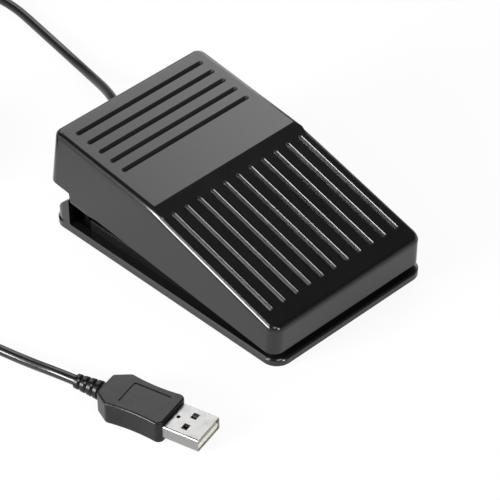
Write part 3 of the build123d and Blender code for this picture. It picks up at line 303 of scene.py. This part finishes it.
ROLLED_FLAT = (1, 1, 12)
MARK_GRAIN = 0.35
MARK_DEPTH = 0.0025
MARK_IN_ROUGHNESS = 0.12
TARNISH_GRAIN = 3.5
TARNISH_EDGE = (0.45, 0.8)
TARNISH_IN_COLOUR = 0.3
TARNISH_IN_ROUGHNESS = 0.10
TARNISH_TONE = 0.72

TRACK_PITCH = 1.2
TRACK_RUN = 4.6
TRACK_DEPTH = 0.03
TRACK_EDGE = (0.13, 0.17)
JOG_IN_PITCHES = 1.6
JOG_EDGE = (0.70, 0.95)
AREA_GRAIN = 7.0
AREA_EDGE = (0.435, 0.445)
BESIDE_AREA_EDGE = (0.470, 0.480)
WEAVE_GRAIN = 0.8
WEAVE_IN_COLOUR = 0.2
WEAVE_IN_ROUGHNESS = 0.12
LAMINATE_ROUGHNESS = 0.32
MASK_COLOUR = (0.012, 0.11, 0.035, 1.0)
MASK_OVER_COPPER = (0.03, 0.22, 0.07, 1.0)
WEAVE_COLOUR = (0.01, 0.08, 0.03, 1.0)


def moulded_plastic(name, colour, roughness, grain=0.22, grain_depth=0.004):
    """Injection-moulded plastic with a fine eroded texture, handled here and there."""
    finish = Finish(name)
    texture = finish.noise(grain, detail=3.0, roughness=0.6)
    handling = finish.noise(HANDLING_GRAIN, detail=3.0)
    dust = finish.ramp(finish.noise(DUST_GRAIN, detail=1.0), *DUST_EDGE)
    tone = finish.mix(handling * HANDLING_IN_COLOUR, colour, times(colour, HANDLED_TONE))
    handled = roughness + (handling - 0.5) * HANDLING_IN_ROUGHNESS
    return finish.surface(
        Base_Color=finish.mix(dust * DUST_IN_COLOUR, tone, grey(DUST_LEVEL)),
        Roughness=handled + texture * TEXTURE_IN_ROUGHNESS,
        Normal=finish.bump(texture, grain_depth),
        IOR=PLASTIC_IOR,
    )


def soft_rubber(name, colour, roughness=0.30):
    """Matte rubber with a dry bloom and fine pores."""
    finish = Finish(name)
    pores = finish.noise(PORE_GRAIN, detail=2.0)
    bloom = finish.ramp(finish.noise(BLOOM_GRAIN, detail=4.0), *BLOOM_EDGE)
    return finish.surface(
        Base_Color=finish.mix(bloom * BLOOM_IN_COLOUR, colour, times(colour, BLOOM_TONE)),
        Roughness=roughness + bloom * BLOOM_IN_ROUGHNESS - pores * PORE_IN_ROUGHNESS,
        Normal=finish.bump(pores, PORE_DEPTH),
        IOR=RUBBER_IOR,
    )


def jacket_plastic(name, colour, roughness=0.18):
    """Soft extruded vinyl: smooth, a little wavy along its length."""
    finish = Finish(name)
    waves = finish.noise(WAVE_GRAIN, detail=2.0)
    skin = finish.noise(SKIN_GRAIN, detail=2.0)
    return finish.surface(
        Base_Color=finish.mix(waves * WAVE_IN_COLOUR, colour, times(colour, WAVE_TONE)),
        Roughness=roughness + (skin - 0.5) * SKIN_IN_ROUGHNESS,
        Normal=finish.bump(skin, SKIN_DEPTH, normal=finish.bump(waves, WAVE_DEPTH)),
        IOR=PLASTIC_IOR,
    )


def rolled_metal(name, colour, roughness, along=(1, 1, 1)):
    """Bare or plated metal with fine marks, drawn out where it was rolled, and faint tarnish."""
    finish = Finish(name)
    marks = finish.noise(MARK_GRAIN, detail=3.0, stretch=along)
    tarnish = finish.ramp(finish.noise(TARNISH_GRAIN, detail=4.0), *TARNISH_EDGE)
    return finish.surface(
        Base_Color=finish.mix(tarnish * TARNISH_IN_COLOUR, colour, times(colour, TARNISH_TONE)),
        Metallic=1.0,
        Roughness=roughness + marks * MARK_IN_ROUGHNESS + tarnish * TARNISH_IN_ROUGHNESS,
        Normal=finish.bump(marks, MARK_DEPTH),
    )


def circuit_laminate(name):
    """Green solder mask over runs of copper tracks and broad copper areas."""
    finish = Finish(name)
    place = finish.place()
    across = finish.node("SeparateXYZ", None, {0: place}, output="X") / (TRACK_PITCH * MM)
    along = finish.node("SeparateXYZ", None, {0: place}, output="Y") / (TRACK_RUN * MM)
    jog = along.math("FLOOR") + finish.ramp(along.math("FRACT"), *JOG_EDGE)
    beside = ((across + jog * JOG_IN_PITCHES).math("FRACT") - 0.5).math("ABSOLUTE")
    areas = finish.noise(AREA_GRAIN, detail=0.0)
    lines = (1 - finish.ramp(beside, *TRACK_EDGE)) * finish.ramp(areas, *BESIDE_AREA_EDGE)
    tracks = lines + (1 - finish.ramp(areas, *AREA_EDGE))
    weave = finish.noise(WEAVE_GRAIN, detail=2.0)
    mask = finish.mix(tracks, MASK_COLOUR, MASK_OVER_COPPER)
    return finish.surface(
        Base_Color=finish.mix(weave * WEAVE_IN_COLOUR, mask, WEAVE_COLOUR),
        Roughness=LAMINATE_ROUGHNESS + weave * WEAVE_IN_ROUGHNESS,
        Normal=finish.bump(tracks, TRACK_DEPTH),
        IOR=PLASTIC_IOR,
    )


FINISHES = {
    "black_plastic": moulded_plastic("black_plastic", grey(0.0055, (0.97, 0.99, 1.04)), 0.13),
    "black_rubber": soft_rubber("black_rubber", grey(0.006, (0.93, 0.98, 1.15))),
    "steel": rolled_metal("steel", grey(0.55), 0.26, ROLLED_FLAT),
    "spring_steel": rolled_metal("spring_steel", grey(0.42, (0.98, 1.0, 1.03)), 0.3),
    "bright_steel": rolled_metal("bright_steel", grey(0.34, (1.0, 0.995, 0.98)), 0.24),
    "switch_red": moulded_plastic("switch_red", (0.42, 0.03, 0.02, 1.0), 0.4),
    "switch_black": moulded_plastic("switch_black", grey(0.02), 0.46),
    "white_nylon": moulded_plastic("white_nylon", (0.72, 0.70, 0.62, 1.0), 0.42),
    "contact_brass": rolled_metal("contact_brass", (0.83, 0.60, 0.24, 1.0), 0.2, ROLLED_FLAT),
    "board_green": circuit_laminate("board_green"),
    "chip_black": moulded_plastic("chip_black", grey(0.03), 0.55, grain=0.12),
    "component_tin": rolled_metal("component_tin", grey(0.66), 0.3),
    "cable_black": jacket_plastic("cable_black", grey(0.007, (0.97, 0.99, 1.05))),
    "wire_red": jacket_plastic("wire_red", (0.5, 0.02, 0.015, 1.0)),
    "wire_white": jacket_plastic("wire_white", grey(0.75)),
    "wire_green": jacket_plastic("wire_green", (0.02, 0.3, 0.07, 1.0)),
    "wire_black": jacket_plastic("wire_black", grey(0.02)),
}


# Pieces that keep the shape of their node


def plain_mesh(piece):
    """Turns a piece with modifiers, or a curve, into a piece with a plain mesh."""
    graph = bpy.context.evaluated_depsgraph_get()
    mesh = bpy.data.meshes.new_from_object(piece.evaluated_get(graph))
    done = bpy.data.objects.new(piece.name, mesh)
    bpy.context.collection.objects.link(done)
    name = piece.name
    bpy.data.objects.remove(piece)
    done.name = name
    return done


def new_piece(name, mesh, slot):
    """A piece of a mesh, in the finish of its slot."""
    piece = bpy.data.objects.new(name, mesh)
    bpy.context.collection.objects.link(piece)
    mesh.materials.clear()
    mesh.materials.append(FINISHES[slot])
    return piece


def merged_shape(node):
    """A node's mesh with its loose triangles joined and its flat faces made whole."""
    shape = bmesh.new()
    shape.from_mesh(frame["nodes"][node].data)
    bmesh.ops.remove_doubles(shape, verts=shape.verts, dist=MERGED_BELOW * MM)
    bmesh.ops.dissolve_limit(
        shape, angle_limit=math.radians(FLAT_BELOW), verts=shape.verts, edges=shape.edges
    )
    return shape


def roof_frame(distance):
    """Place and axes of the cover's roof at a distance behind the front: across, along, outward."""
    if distance > COVER_KNEE_DISTANCE:
        rise = COVER_REAR_HEIGHT - COVER_KNEE_HEIGHT
        run = COVER_LENGTH - COVER_KNEE_DISTANCE
    else:
        rise = COVER_KNEE_HEIGHT - COVER_FRONT_HEIGHT
        run = COVER_KNEE_DISTANCE
    tilt = Matrix.Rotation(math.radians(COVER_TILT), 3, "X")
    height = COVER_KNEE_HEIGHT + (distance - COVER_KNEE_DISTANCE) * rise / run
    place = COVER_ORIGIN + tilt @ Vector((0, distance, height))
    along = (tilt @ Vector((0, run, rise))).normalized()
    return place, Vector((1, 0, 0)), along, Vector((1, 0, 0)).cross(along)


def row_middle(row):
    """The distance behind the cover's front at which the middle of a row of grooves lies."""
    if row["lengthwise"]:
        slope = (COVER_KNEE_HEIGHT - COVER_FRONT_HEIGHT) / COVER_KNEE_DISTANCE
        ahead = (row["from_knee"] + row["length"] / 2) / math.hypot(1, slope)
        return COVER_KNEE_DISTANCE - ahead
    spread = (row["count"] - 1) * row["pitch"]
    return COVER_KNEE_DISTANCE + row["from_knee"] + spread / 2


def groove_parts(shape, place, spacing, outward):
    """The faces, edges and corners of the groove whose bottom line runs under a place."""

    def inside(vert):
        local = vert.co / MM - place
        depth = -local.dot(outward)
        return -ON_ROOF < depth < GROOVE_REACH and abs(local.dot(spacing)) < GROOVE_REACH

    walls = [face for face in shape.faces if all(inside(vert) for vert in face.verts)]
    seams = dict.fromkeys(seam for face in walls for seam in face.edges)
    corners = dict.fromkeys(vert for face in walls for vert in face.verts)
    return [*walls, *seams, *corners]


def cut_grooves(shape, row, place, spacing, outward):
    """Cuts each groove of a row lengthwise where its walls meet and where they bend."""
    for index in range(row["count"]):
        middle = (index - (row["count"] - 1) / 2) * row["pitch"]
        for aside in row["cuts"]:
            bmesh.ops.bisect_plane(
                shape,
                geom=groove_parts(shape, place + spacing * middle, spacing, outward),
                dist=ON_CUT * MM,
                plane_co=(place + spacing * (middle + aside)) * MM,
                plane_no=spacing,
            )


def steepen_walls(shape, row, place, spacing, lengthways, outward):
    """Moves the walls of a row of grooves so that they meet in a line."""
    half = (row["count"] - 1) / 2
    reach = (row["length"] - 2 * GROOVE_DEPTH) / 2
    for vert in shape.verts:
        local = vert.co / MM - place
        depth = -local.dot(outward)
        if not ON_ROOF < depth < GROOVE_REACH:
            continue
        beside, along = local.dot(spacing), local.dot(lengthways)
        index = min(max(round(beside / row["pitch"] + half), 0), row["count"] - 1) - half
        away = math.hypot(beside - index * row["pitch"], max(abs(along) - reach, 0))
        if away < GROOVE_HALF_WIDTH:
            steep = max(GROOVE_DEPTH - max(away, row["bend"]), 0) * row["steep"]
            gentle = max(row["bend"] - away, 0) * row["gentle"]
            vert.co += outward * (depth - steep - gentle) * MM


def sharpen_grooves(shape):
    """Turns the round bottoms of the cover's grooves into walls that meet in a line."""
    for row in (FRONT_GROOVES, REAR_GROOVES):
        place, across, along, outward = roof_frame(row_middle(row))
        spacing, lengthways = (across, along) if row["lengthwise"] else (along, across)
        cut_grooves(shape, row, place, spacing, outward)
        steepen_walls(shape, row, place, spacing, lengthways, outward)


def round_roof_rim(shape):
    """Rounds the rim of the front roof as far as the rear roof's rim is rounded."""
    place, across, along, outward = roof_frame(COVER_KNEE_DISTANCE / 2)
    rim = []
    for seam in shape.edges:
        if len(seam.link_faces) != 2 or seam.calc_face_angle(0.0) < math.radians(RIM_ANGLE):
            continue
        if any(abs((vert.co / MM - place).dot(outward)) > ON_ROOF for vert in seam.verts):
            continue
        middle = (seam.verts[0].co + seam.verts[1].co) / 2 / MM - place
        ahead = middle.dot(along) < -COVER_KNEE_DISTANCE / 2 + RIM_NEAR_FRONT
        if abs(middle.dot(across)) > RIM_BEYOND or ahead:
            rim.append(seam)
    bmesh.ops.bevel(
        shape,
        geom=rim,
        offset=COVER_EDGE_RADIUS * MM,
        offset_type="OFFSET",
        segments=RIM_SEGMENTS,
        profile=0.5,
        affect="EDGES",
        clamp_overlap=False,
    )


def knee_seams(shape):
    """The edges along the kink between the two parts of the cover's roof."""
    place = roof_frame(COVER_KNEE_DISTANCE)[0]
    seams = []
    for seam in shape.edges:
        away = [vert.co / MM - place for vert in seam.verts]
        if all(math.hypot(local.y, local.z) < ON_KNEE for local in away):
            seams.append(seam)
    return seams


def dress(node, edge=0.0, shape_up=(), creases=lambda shape: ()):
    """Makes a finished copy of a node: merged, shaded smooth where it curves, edges broken."""
    slot = SLOT_OF[node]
    shape = merged_shape(node)
    for step in shape_up:
        step(shape)
    for face in shape.faces:
        face.smooth = True
    for seam in shape.edges:
        seam.smooth = edge > 0 or seam.calc_face_angle(0.0) < math.radians(SHARP_ANGLE)
    for seam in creases(shape):
        seam.smooth = False
    mesh = bpy.data.meshes.new(node)
    shape.to_mesh(mesh)
    shape.free()
    piece = new_piece(node + "_finished", mesh, slot)
    if edge:
        bevel = piece.modifiers.new("broken_edges", "BEVEL")
        bevel.width = edge * MM
        bevel.segments = 2
        bevel.limit_method = "ANGLE"
        bevel.angle_limit = math.radians(SHARP_ANGLE)
        bevel.use_clamp_overlap = True
    shading = piece.modifiers.new("flat_faces_stay_flat", "WEIGHTED_NORMAL")
    shading.keep_sharp = True
    piece = plain_mesh(piece)
    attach(piece, BODY_OF[node])
    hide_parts(node)


# Cable, whose route is given in millimetres


REAR_ROUTE = (
    (17.0, 73.5, 7.2),
    (21.8, 84.5, 5.5),
    (25.2, 95.0, 3.2),
    (28.3, 107.0, CABLE_RADIUS),
    (32.3, 130.6, CABLE_RADIUS),
    (35.3, 148.6, CABLE_RADIUS),
    (33.4, 164.0, CABLE_RADIUS),
    (23.6, 175.6, CABLE_RADIUS),
    (9.4, 180.8, CABLE_RADIUS),
    (-8.5, 178.6, CABLE_RADIUS),
    (-28.5, 165.2, CABLE_RADIUS),
    (-46.0, 149.6, CABLE_RADIUS),
)
PLUG_ROUTE = (
    (-84.9, 78.0, 11.2),
    (-87.8, 64.0, 5.8),
    (-89.3, 50.0, 2.6),
    (-89.4, 38.0, CABLE_RADIUS),
    (-88.0, 26.0, CABLE_RADIUS),
    (-85.6, 15.0, CABLE_RADIUS),
    (-83.5, 4.0, 2.2),
)
COIL_LEAD_IN = 16.0
COIL_LEAD_OUT = 10.0
CLIMB_TURNS = 0.5
SHORT_TURN = 0.001
PLUG_LEAD_IN = 7.0
CABLE_BEVEL_RESOLUTION = 5
CABLE_STEPS_PER_POINT = 5


def coil_turns():
    """How many turns the coil has, from where the cable comes in to where it leaves."""
    share = ((COIL_EXIT_ANGLE - COIL_ENTRY_ANGLE) % 360) / 360
    return COIL_FULL_TURNS + share


def coil_place(turn):
    """The middle of the cable after some turns of the coil, in millimetres."""
    layer_turns = coil_turns() / COIL_LAYERS
    layer = min(int(turn / layer_turns), COIL_LAYERS - 1)
    inside = turn - layer * layer_turns
    outward = COIL_PITCH * inside - layer_turns * COIL_PITCH / 2
    radius = COIL_MEAN_RADIUS + (outward if layer % 2 else -outward)
    climb = 0
    for above in range(1, COIL_LAYERS):
        share = min(max((turn - above * layer_turns) / CLIMB_TURNS + 0.5, 0), 1)
        climb += share**2 * (3 - 2 * share)
    angle = math.radians(COIL_ENTRY_ANGLE) + 2 * math.pi * turn
    return Vector(
        (
            COIL_CENTRE.x + radius * math.cos(angle),
            COIL_CENTRE.y + radius * math.sin(angle),
            CABLE_RADIUS + TIE_SHEET + TIE_SLACK + COIL_PITCH * climb,
        )
    )


def coil_heading(turn, towards):
    """The way the cable runs at a turn, measured on the side of it that lies in the coil."""
    step = SHORT_TURN * towards
    return ((coil_place(turn + step) - coil_place(turn)) * towards).normalized()


def cable_points():
    """The cable's route from the strain relief to the plug, in millimetres."""
    entry = coil_place(0)
    entry_heading = coil_heading(0, 1)
    leaving = coil_place(coil_turns())
    leaving_heading = coil_heading(coil_turns(), -1)
    plug_angle = math.radians(PLUG_HEADING)
    plug_way = Vector((math.sin(plug_angle), -math.cos(plug_angle), 0))
    steps = round(coil_turns() * COIL_POINTS_PER_TURN)
    points = [
        EXIT,
        *REAR_ROUTE,
        entry - entry_heading * (COIL_STUB + COIL_LEAD_IN),
        entry - entry_heading * COIL_STUB,
        *(coil_place(coil_turns() * i / steps) for i in range(steps + 1)),
        leaving + leaving_heading * COIL_STUB,
        leaving + leaving_heading * (COIL_STUB + COIL_LEAD_OUT),
        *PLUG_ROUTE,
        PLUG_START - plug_way * PLUG_LEAD_IN,
        PLUG_START,
    ]
    return [Vector(point) for point in points]


def cable():
    """The whole cord as one curve, which stands for three nodes."""
    curve = bpy.data.curves.new("cable", "CURVE")
    curve.dimensions = "3D"
    curve.bevel_depth = CABLE_RADIUS * MM
    curve.bevel_resolution = CABLE_BEVEL_RESOLUTION
    curve.resolution_u = CABLE_STEPS_PER_POINT
    curve.use_fill_caps = True
    spline = curve.splines.new("NURBS")
    points = cable_points()
    spline.points.add(len(points) - 1)
    for control, point in zip(spline.points, points):
        control.co = (*(point * MM), 1.0)
    spline.order_u = 3
    spline.use_endpoint_u = True
    curve.materials.append(FINISHES["cable_black"])
    piece = bpy.data.objects.new("cable", curve)
    bpy.context.collection.objects.link(piece)
    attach(piece, "base")
    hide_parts("cable_rear_run", "cable_coil", "cable_plug_run")
    return piece


# Pieces grown by node trees, with their lengths in millimetres


SPRING_STEPS_PER_TURN = 28
SPRING_WIRE_SIDES = 12
CHIP_LEGS_PER_SIDE = 8
CHIP_LEG_PITCH = 1.27
HEADER_PINS = 4
HEADER_PIN_PITCH = 2.0
HEADER_PIN_AHEAD = 0.7
SOLDER_SIDES = 10
SOLDER_RINGS = 2
SOLDER_RADIUS = 0.42
SOLDER_TOP_RADIUS = 0.12
SOLDER_HEIGHT = 0.3


class Growth:
    """A geometry node tree with named inputs, set to work on one piece."""

    def __init__(self, name, sizes):
        self.tree = bpy.data.node_groups.new(name, "GeometryNodeTree")
        self.sizes = sizes
        interface = self.tree.interface
        interface.new_socket("Geometry", in_out="INPUT", socket_type="NodeSocketGeometry")
        self.sockets = {
            size: interface.new_socket(size, in_out="INPUT", socket_type="NodeSocketFloat")
            for size in sizes
        }
        interface.new_socket("Geometry", in_out="OUTPUT", socket_type="NodeSocketGeometry")
        self.inputs = self.tree.nodes.new("NodeGroupInput")
        self.output = self.tree.nodes.new("NodeGroupOutput")

    def given(self, name):
        """What the tree is given under a name: its geometry or one of its sizes."""
        return self.inputs.outputs[name]

    def node(self, kind, inputs):
        """Adds a node, links or sets its inputs, and returns its first output."""
        made = self.tree.nodes.new("GeometryNode" + kind)
        for key, entry in inputs.items():
            if isinstance(entry, bpy.types.NodeSocket):
                self.tree.links.new(entry, made.inputs[key])
            else:
                made.inputs[key].default_value = entry
        return made.outputs[0]

    def grow(self, name, geometry, slot, seed_mesh=None):
        """Finishes the tree, runs it on a new piece and returns that piece as a plain mesh."""
        real = self.node("RealizeInstances", {"Geometry": geometry})
        painted = self.node("SetMaterial", {"Geometry": real, "Material": FINISHES[slot]})
        self.tree.links.new(painted, self.output.inputs[0])
        piece = new_piece(name, seed_mesh or bpy.data.meshes.new(name), slot)
        modifier = piece.modifiers.new(name, "NODES")
        modifier.node_group = self.tree
        for size, given in self.sizes.items():
            modifier[self.sockets[size].identifier] = float(given)
        piece = plain_mesh(piece)
        return piece


def return_spring(node, x):
    """A compression spring at the length of its node; the real one shortens as the pedal goes down.
    """
    low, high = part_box(node)
    wire = SPRING_WIRE * MM
    growth = Growth(
        node + "_coils",
        {
            "Turns": SPRING_TURNS,
            "Radius": (SPRING_DIAMETER - SPRING_WIRE) / 2 * MM,
            "Height": high.z - low.z - wire,
            "Wire radius": wire / 2,
        },
    )
    line = growth.node(
        "CurveSpiral",
        {
            "Resolution": SPRING_STEPS_PER_TURN,
            "Rotations": growth.given("Turns"),
            "Start Radius": growth.given("Radius"),
            "End Radius": growth.given("Radius"),
            "Height": growth.given("Height"),
        },
    )
    ring = growth.node(
        "CurvePrimitiveCircle",
        {"Resolution": SPRING_WIRE_SIDES, "Radius": growth.given("Wire radius")},
    )
    tube = growth.node("CurveToMesh", {"Curve": line, "Profile Curve": ring, "Fill Caps": True})
    placed = growth.node(
        "Transform",
        {"Geometry": tube, "Translation": (x * MM, SPRING_Y * MM, low.z + wire / 2)},
    )
    piece = growth.grow(node + "_finished", placed, "spring_steel")
    for face in piece.data.polygons:
        face.use_smooth = True
    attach(piece, "base")
    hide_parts(node)
    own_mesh(piece)


def solder_joints():
    """Small shining cones where the legs and pins meet the board."""
    chip_low, chip_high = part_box("controller_chip")
    header_low, header_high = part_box("wire_connector")
    board_top = chip_low.z
    spots = []
    for i in range(CHIP_LEGS_PER_SIDE):
        x = (i - (CHIP_LEGS_PER_SIDE - 1) / 2) * CHIP_LEG_PITCH * MM
        spots += [(x, chip_low.y, board_top), (x, chip_high.y, board_top)]
    for i in range(HEADER_PINS):
        aside = (i - (HEADER_PINS - 1) / 2) * HEADER_PIN_PITCH * MM
        x = (header_low.x + header_high.x) / 2 + aside
        spots.append((x, header_low.y - HEADER_PIN_AHEAD * MM, board_top))
    mesh = bpy.data.meshes.new("solder_spots")
    mesh.from_pydata(spots, [], [])
    growth = Growth("solder", {"Radius": SOLDER_RADIUS * MM, "Height": SOLDER_HEIGHT * MM})
    dome = growth.node(
        "MeshCone",
        {
            "Vertices": SOLDER_SIDES,
            "Side Segments": SOLDER_RINGS,
            "Radius Top": SOLDER_TOP_RADIUS * MM,
            "Radius Bottom": growth.given("Radius"),
            "Depth": growth.given("Height"),
        },
    )
    domes = growth.node("InstanceOnPoints", {"Points": growth.given("Geometry"), "Instance": dome})
    piece = growth.grow("solder_joints", domes, "component_tin", mesh)
    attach(piece, "base")


# Stage, lights and camera


FLOOR_REACH = 4.0
FLOOR_LEVEL = 0.92
FLOOR_GLOW_SEEN = 0.9
FLOOR_GLOW_MIRRORED = 0.66
SKY_LEVEL_LOW = 0.75
SKY_LEVEL_DROP = 0.68
SKY_HEIGHTS = (0.05, 0.6)

# Lamps, whose sizes and distances are in metres. All but the key light stand where the faces they
# light mirror them into the camera.
LAMPS = (
    {
        "name": "rear_softbox",
        "direction": (0.518, 0.443, 0.731),
        "edge": (0, 0.957, -0.288),
        "distance": 0.9,
        "size": (0.84, 0.30),
        "radiance": 0.285,
        "aside": (-0.27, 0.04, 0),
        "spread": 40.0,
    },
    {
        "name": "low_softbox",
        "direction": (0.473, 0.646, 0.599),
        "edge": (0, 0.957, -0.288),
        "distance": 0.9,
        "size": (0.84, 0.28),
        "radiance": 2.8,
    },
    {
        "name": "left_panel",
        "direction": (-0.748, 0.150, 0.647),
        "edge": (0.70, 0, 0.71),
        "distance": 0.8,
        "size": (0.20, 0.15),
        "radiance": 8.0,
    },
    {
        "name": "left_rim_panel",
        "direction": (-0.641, 0.555, 0.53),
        "edge": (0.70, 0, 0.71),
        "distance": 0.9,
        "size": (0.30, 0.20),
        "radiance": 2.4,
    },
    {
        "name": "corner_glint",
        "direction": (-0.046, -0.885, 0.511),
        "edge": (1, 0, 0),
        "distance": 0.8,
        "size": (0.14, 0.14),
        "radiance": 30.0,
    },
    {
        "name": "left_line",
        "direction": (-0.928, 0.245, 0.304),
        "edge": (0.42, 0, 0.90),
        "distance": 0.8,
        "size": (0.30, 0.25),
        "radiance": 34.0,
    },
    {
        "name": "left_second_line",
        "direction": (-0.540, 0.110, 0.830),
        "edge": (0.84, 0, 0.54),
        "distance": 0.8,
        "size": (0.20, 0.04),
        "radiance": 24.0,
    },
    {
        "name": "key_light",
        "direction": (-0.30, -0.62, 0.82),
        "edge": (0, 0.8, 0.6),
        "distance": 1.1,
        "size": (0.5, 0.3),
        "radiance": 5.0,
    },
)


def floor():
    """Lays a wide pale floor, which the camera and mirrors see nearly white."""
    mesh = bpy.data.meshes.new("floor")
    corners = [
        (x * FLOOR_REACH, y * FLOOR_REACH, 0) for x, y in ((-1, -1), (1, -1), (1, 1), (-1, 1))
    ]
    mesh.from_pydata(corners, [], [(0, 1, 2, 3)])
    finish = Finish("pale_floor")
    seen = finish.node("LightPath", output="Is Camera Ray")
    mirrored = finish.node("LightPath", output="Is Glossy Ray")
    share = seen * FLOOR_GLOW_SEEN + mirrored * FLOOR_GLOW_MIRRORED
    matte = finish.node("BsdfDiffuse", None, {"Color": grey(FLOOR_LEVEL)})
    glow = finish.node("Emission", None, {"Color": WHITE, "Strength": 1.0})
    both = finish.node("MixShader", None, {0: share, 1: matte, 2: glow})
    finish.node("OutputMaterial", None, {"Surface": both})
    mesh.materials.append(finish.owner)
    piece = bpy.data.objects.new("floor", mesh)
    bpy.context.collection.objects.link(piece)


def world():
    """Makes the surroundings a studio that is bright near the floor and dark overhead."""
    owner = bpy.data.worlds.new("studio")
    bpy.context.scene.world = owner
    finish = Finish("studio", owner)
    direction = finish.node("TexCoord", output="Generated")
    height = finish.node("SeparateXYZ", None, {0: direction}, output="Z")
    overhead = finish.ramp(height, *SKY_HEIGHTS)
    level = SKY_LEVEL_LOW - overhead * SKY_LEVEL_DROP
    seen = finish.node("LightPath", output="Is Camera Ray")
    strength = seen + (1 - seen) * level
    background = finish.node("Background", None, {"Color": WHITE, "Strength": strength})
    finish.node("OutputWorld", None, {"Surface": background})


def softbox(name, direction, edge, distance, size, radiance, aside=(0, 0, 0), spread=180.0):
    """Hangs a rectangular lamp that faces the middle of the view, or a place aside of it, and
    whose height runs along a given edge."""
    width, height = size
    place = VIEW_TARGET + Vector(direction).normalized() * distance
    away = (place - VIEW_TARGET - Vector(aside)).normalized()
    along = (Vector(edge) - away * away.dot(Vector(edge))).normalized()
    across = along.cross(away)
    lamp = bpy.data.lights.new(name, "AREA")
    lamp.shape = "RECTANGLE"
    lamp.size = width
    lamp.size_y = height
    lamp.energy = radiance * math.pi * width * height
    lamp.spread = math.radians(spread)
    piece = bpy.data.objects.new(name, lamp)
    turn = Matrix((across, along, away)).transposed().to_4x4()
    piece.matrix_world = Matrix.Translation(place) @ turn
    bpy.context.collection.objects.link(piece)


def camera():
    """Sets the camera up where the photograph was taken from."""
    azimuth, elevation, roll = map(math.radians, (VIEW_AZIMUTH, VIEW_ELEVATION, VIEW_ROLL))
    back = Vector(
        (
            math.sin(azimuth) * math.cos(elevation),
            -math.cos(azimuth) * math.cos(elevation),
            math.sin(elevation),
        )
    )
    level = Vector((math.cos(azimuth), math.sin(azimuth), 0))
    upright = back.cross(level)
    right = level * math.cos(roll) + upright * math.sin(roll)
    up = upright * math.cos(roll) - level * math.sin(roll)
    data = bpy.data.cameras.new("camera")
    data.sensor_width = SENSOR_WIDTH
    data.lens = FOCAL_LENGTH_IN_FRAMES * SENSOR_WIDTH
    piece = bpy.data.objects.new("camera", data)
    turn = Matrix((right, up, back)).transposed().to_4x4()
    piece.matrix_world = Matrix.Translation(VIEW_TARGET + back * VIEW_DISTANCE) @ turn
    bpy.context.collection.objects.link(piece)
    bpy.context.scene.camera = piece


# Order of work


camera()
floor()
world()
for lamp in LAMPS:
    softbox(**lamp)
bpy.context.scene.view_settings.view_transform = "Standard"

# Width in millimetres of the broken edge of the pieces that get one
BROKEN_EDGES = {
    "pedal_cover": 0.18,
    "base_tray": 0.15,
    "plug_insert": 0.08,
    "switch_housing": 0.12,
    "wire_connector": 0.12,
    "cable_clamp": 0.2,
    "circuit_board": 0.06,
    "controller_chip": 0.04,
}
WOUND = {"cable_rear_run", "cable_coil", "cable_plug_run", *SPRING_PLACES}
SHAPED_UP = {
    "pedal_cover": {"shape_up": (sharpen_grooves, round_roof_rim), "creases": knee_seams},
}
for node in SLOT_OF:
    if node not in WOUND:
        dress(node, BROKEN_EDGES.get(node, 0.0), **SHAPED_UP.get(node, {}))

for node, x in SPRING_PLACES.items():
    return_spring(node, x)
solder_joints()

cable()
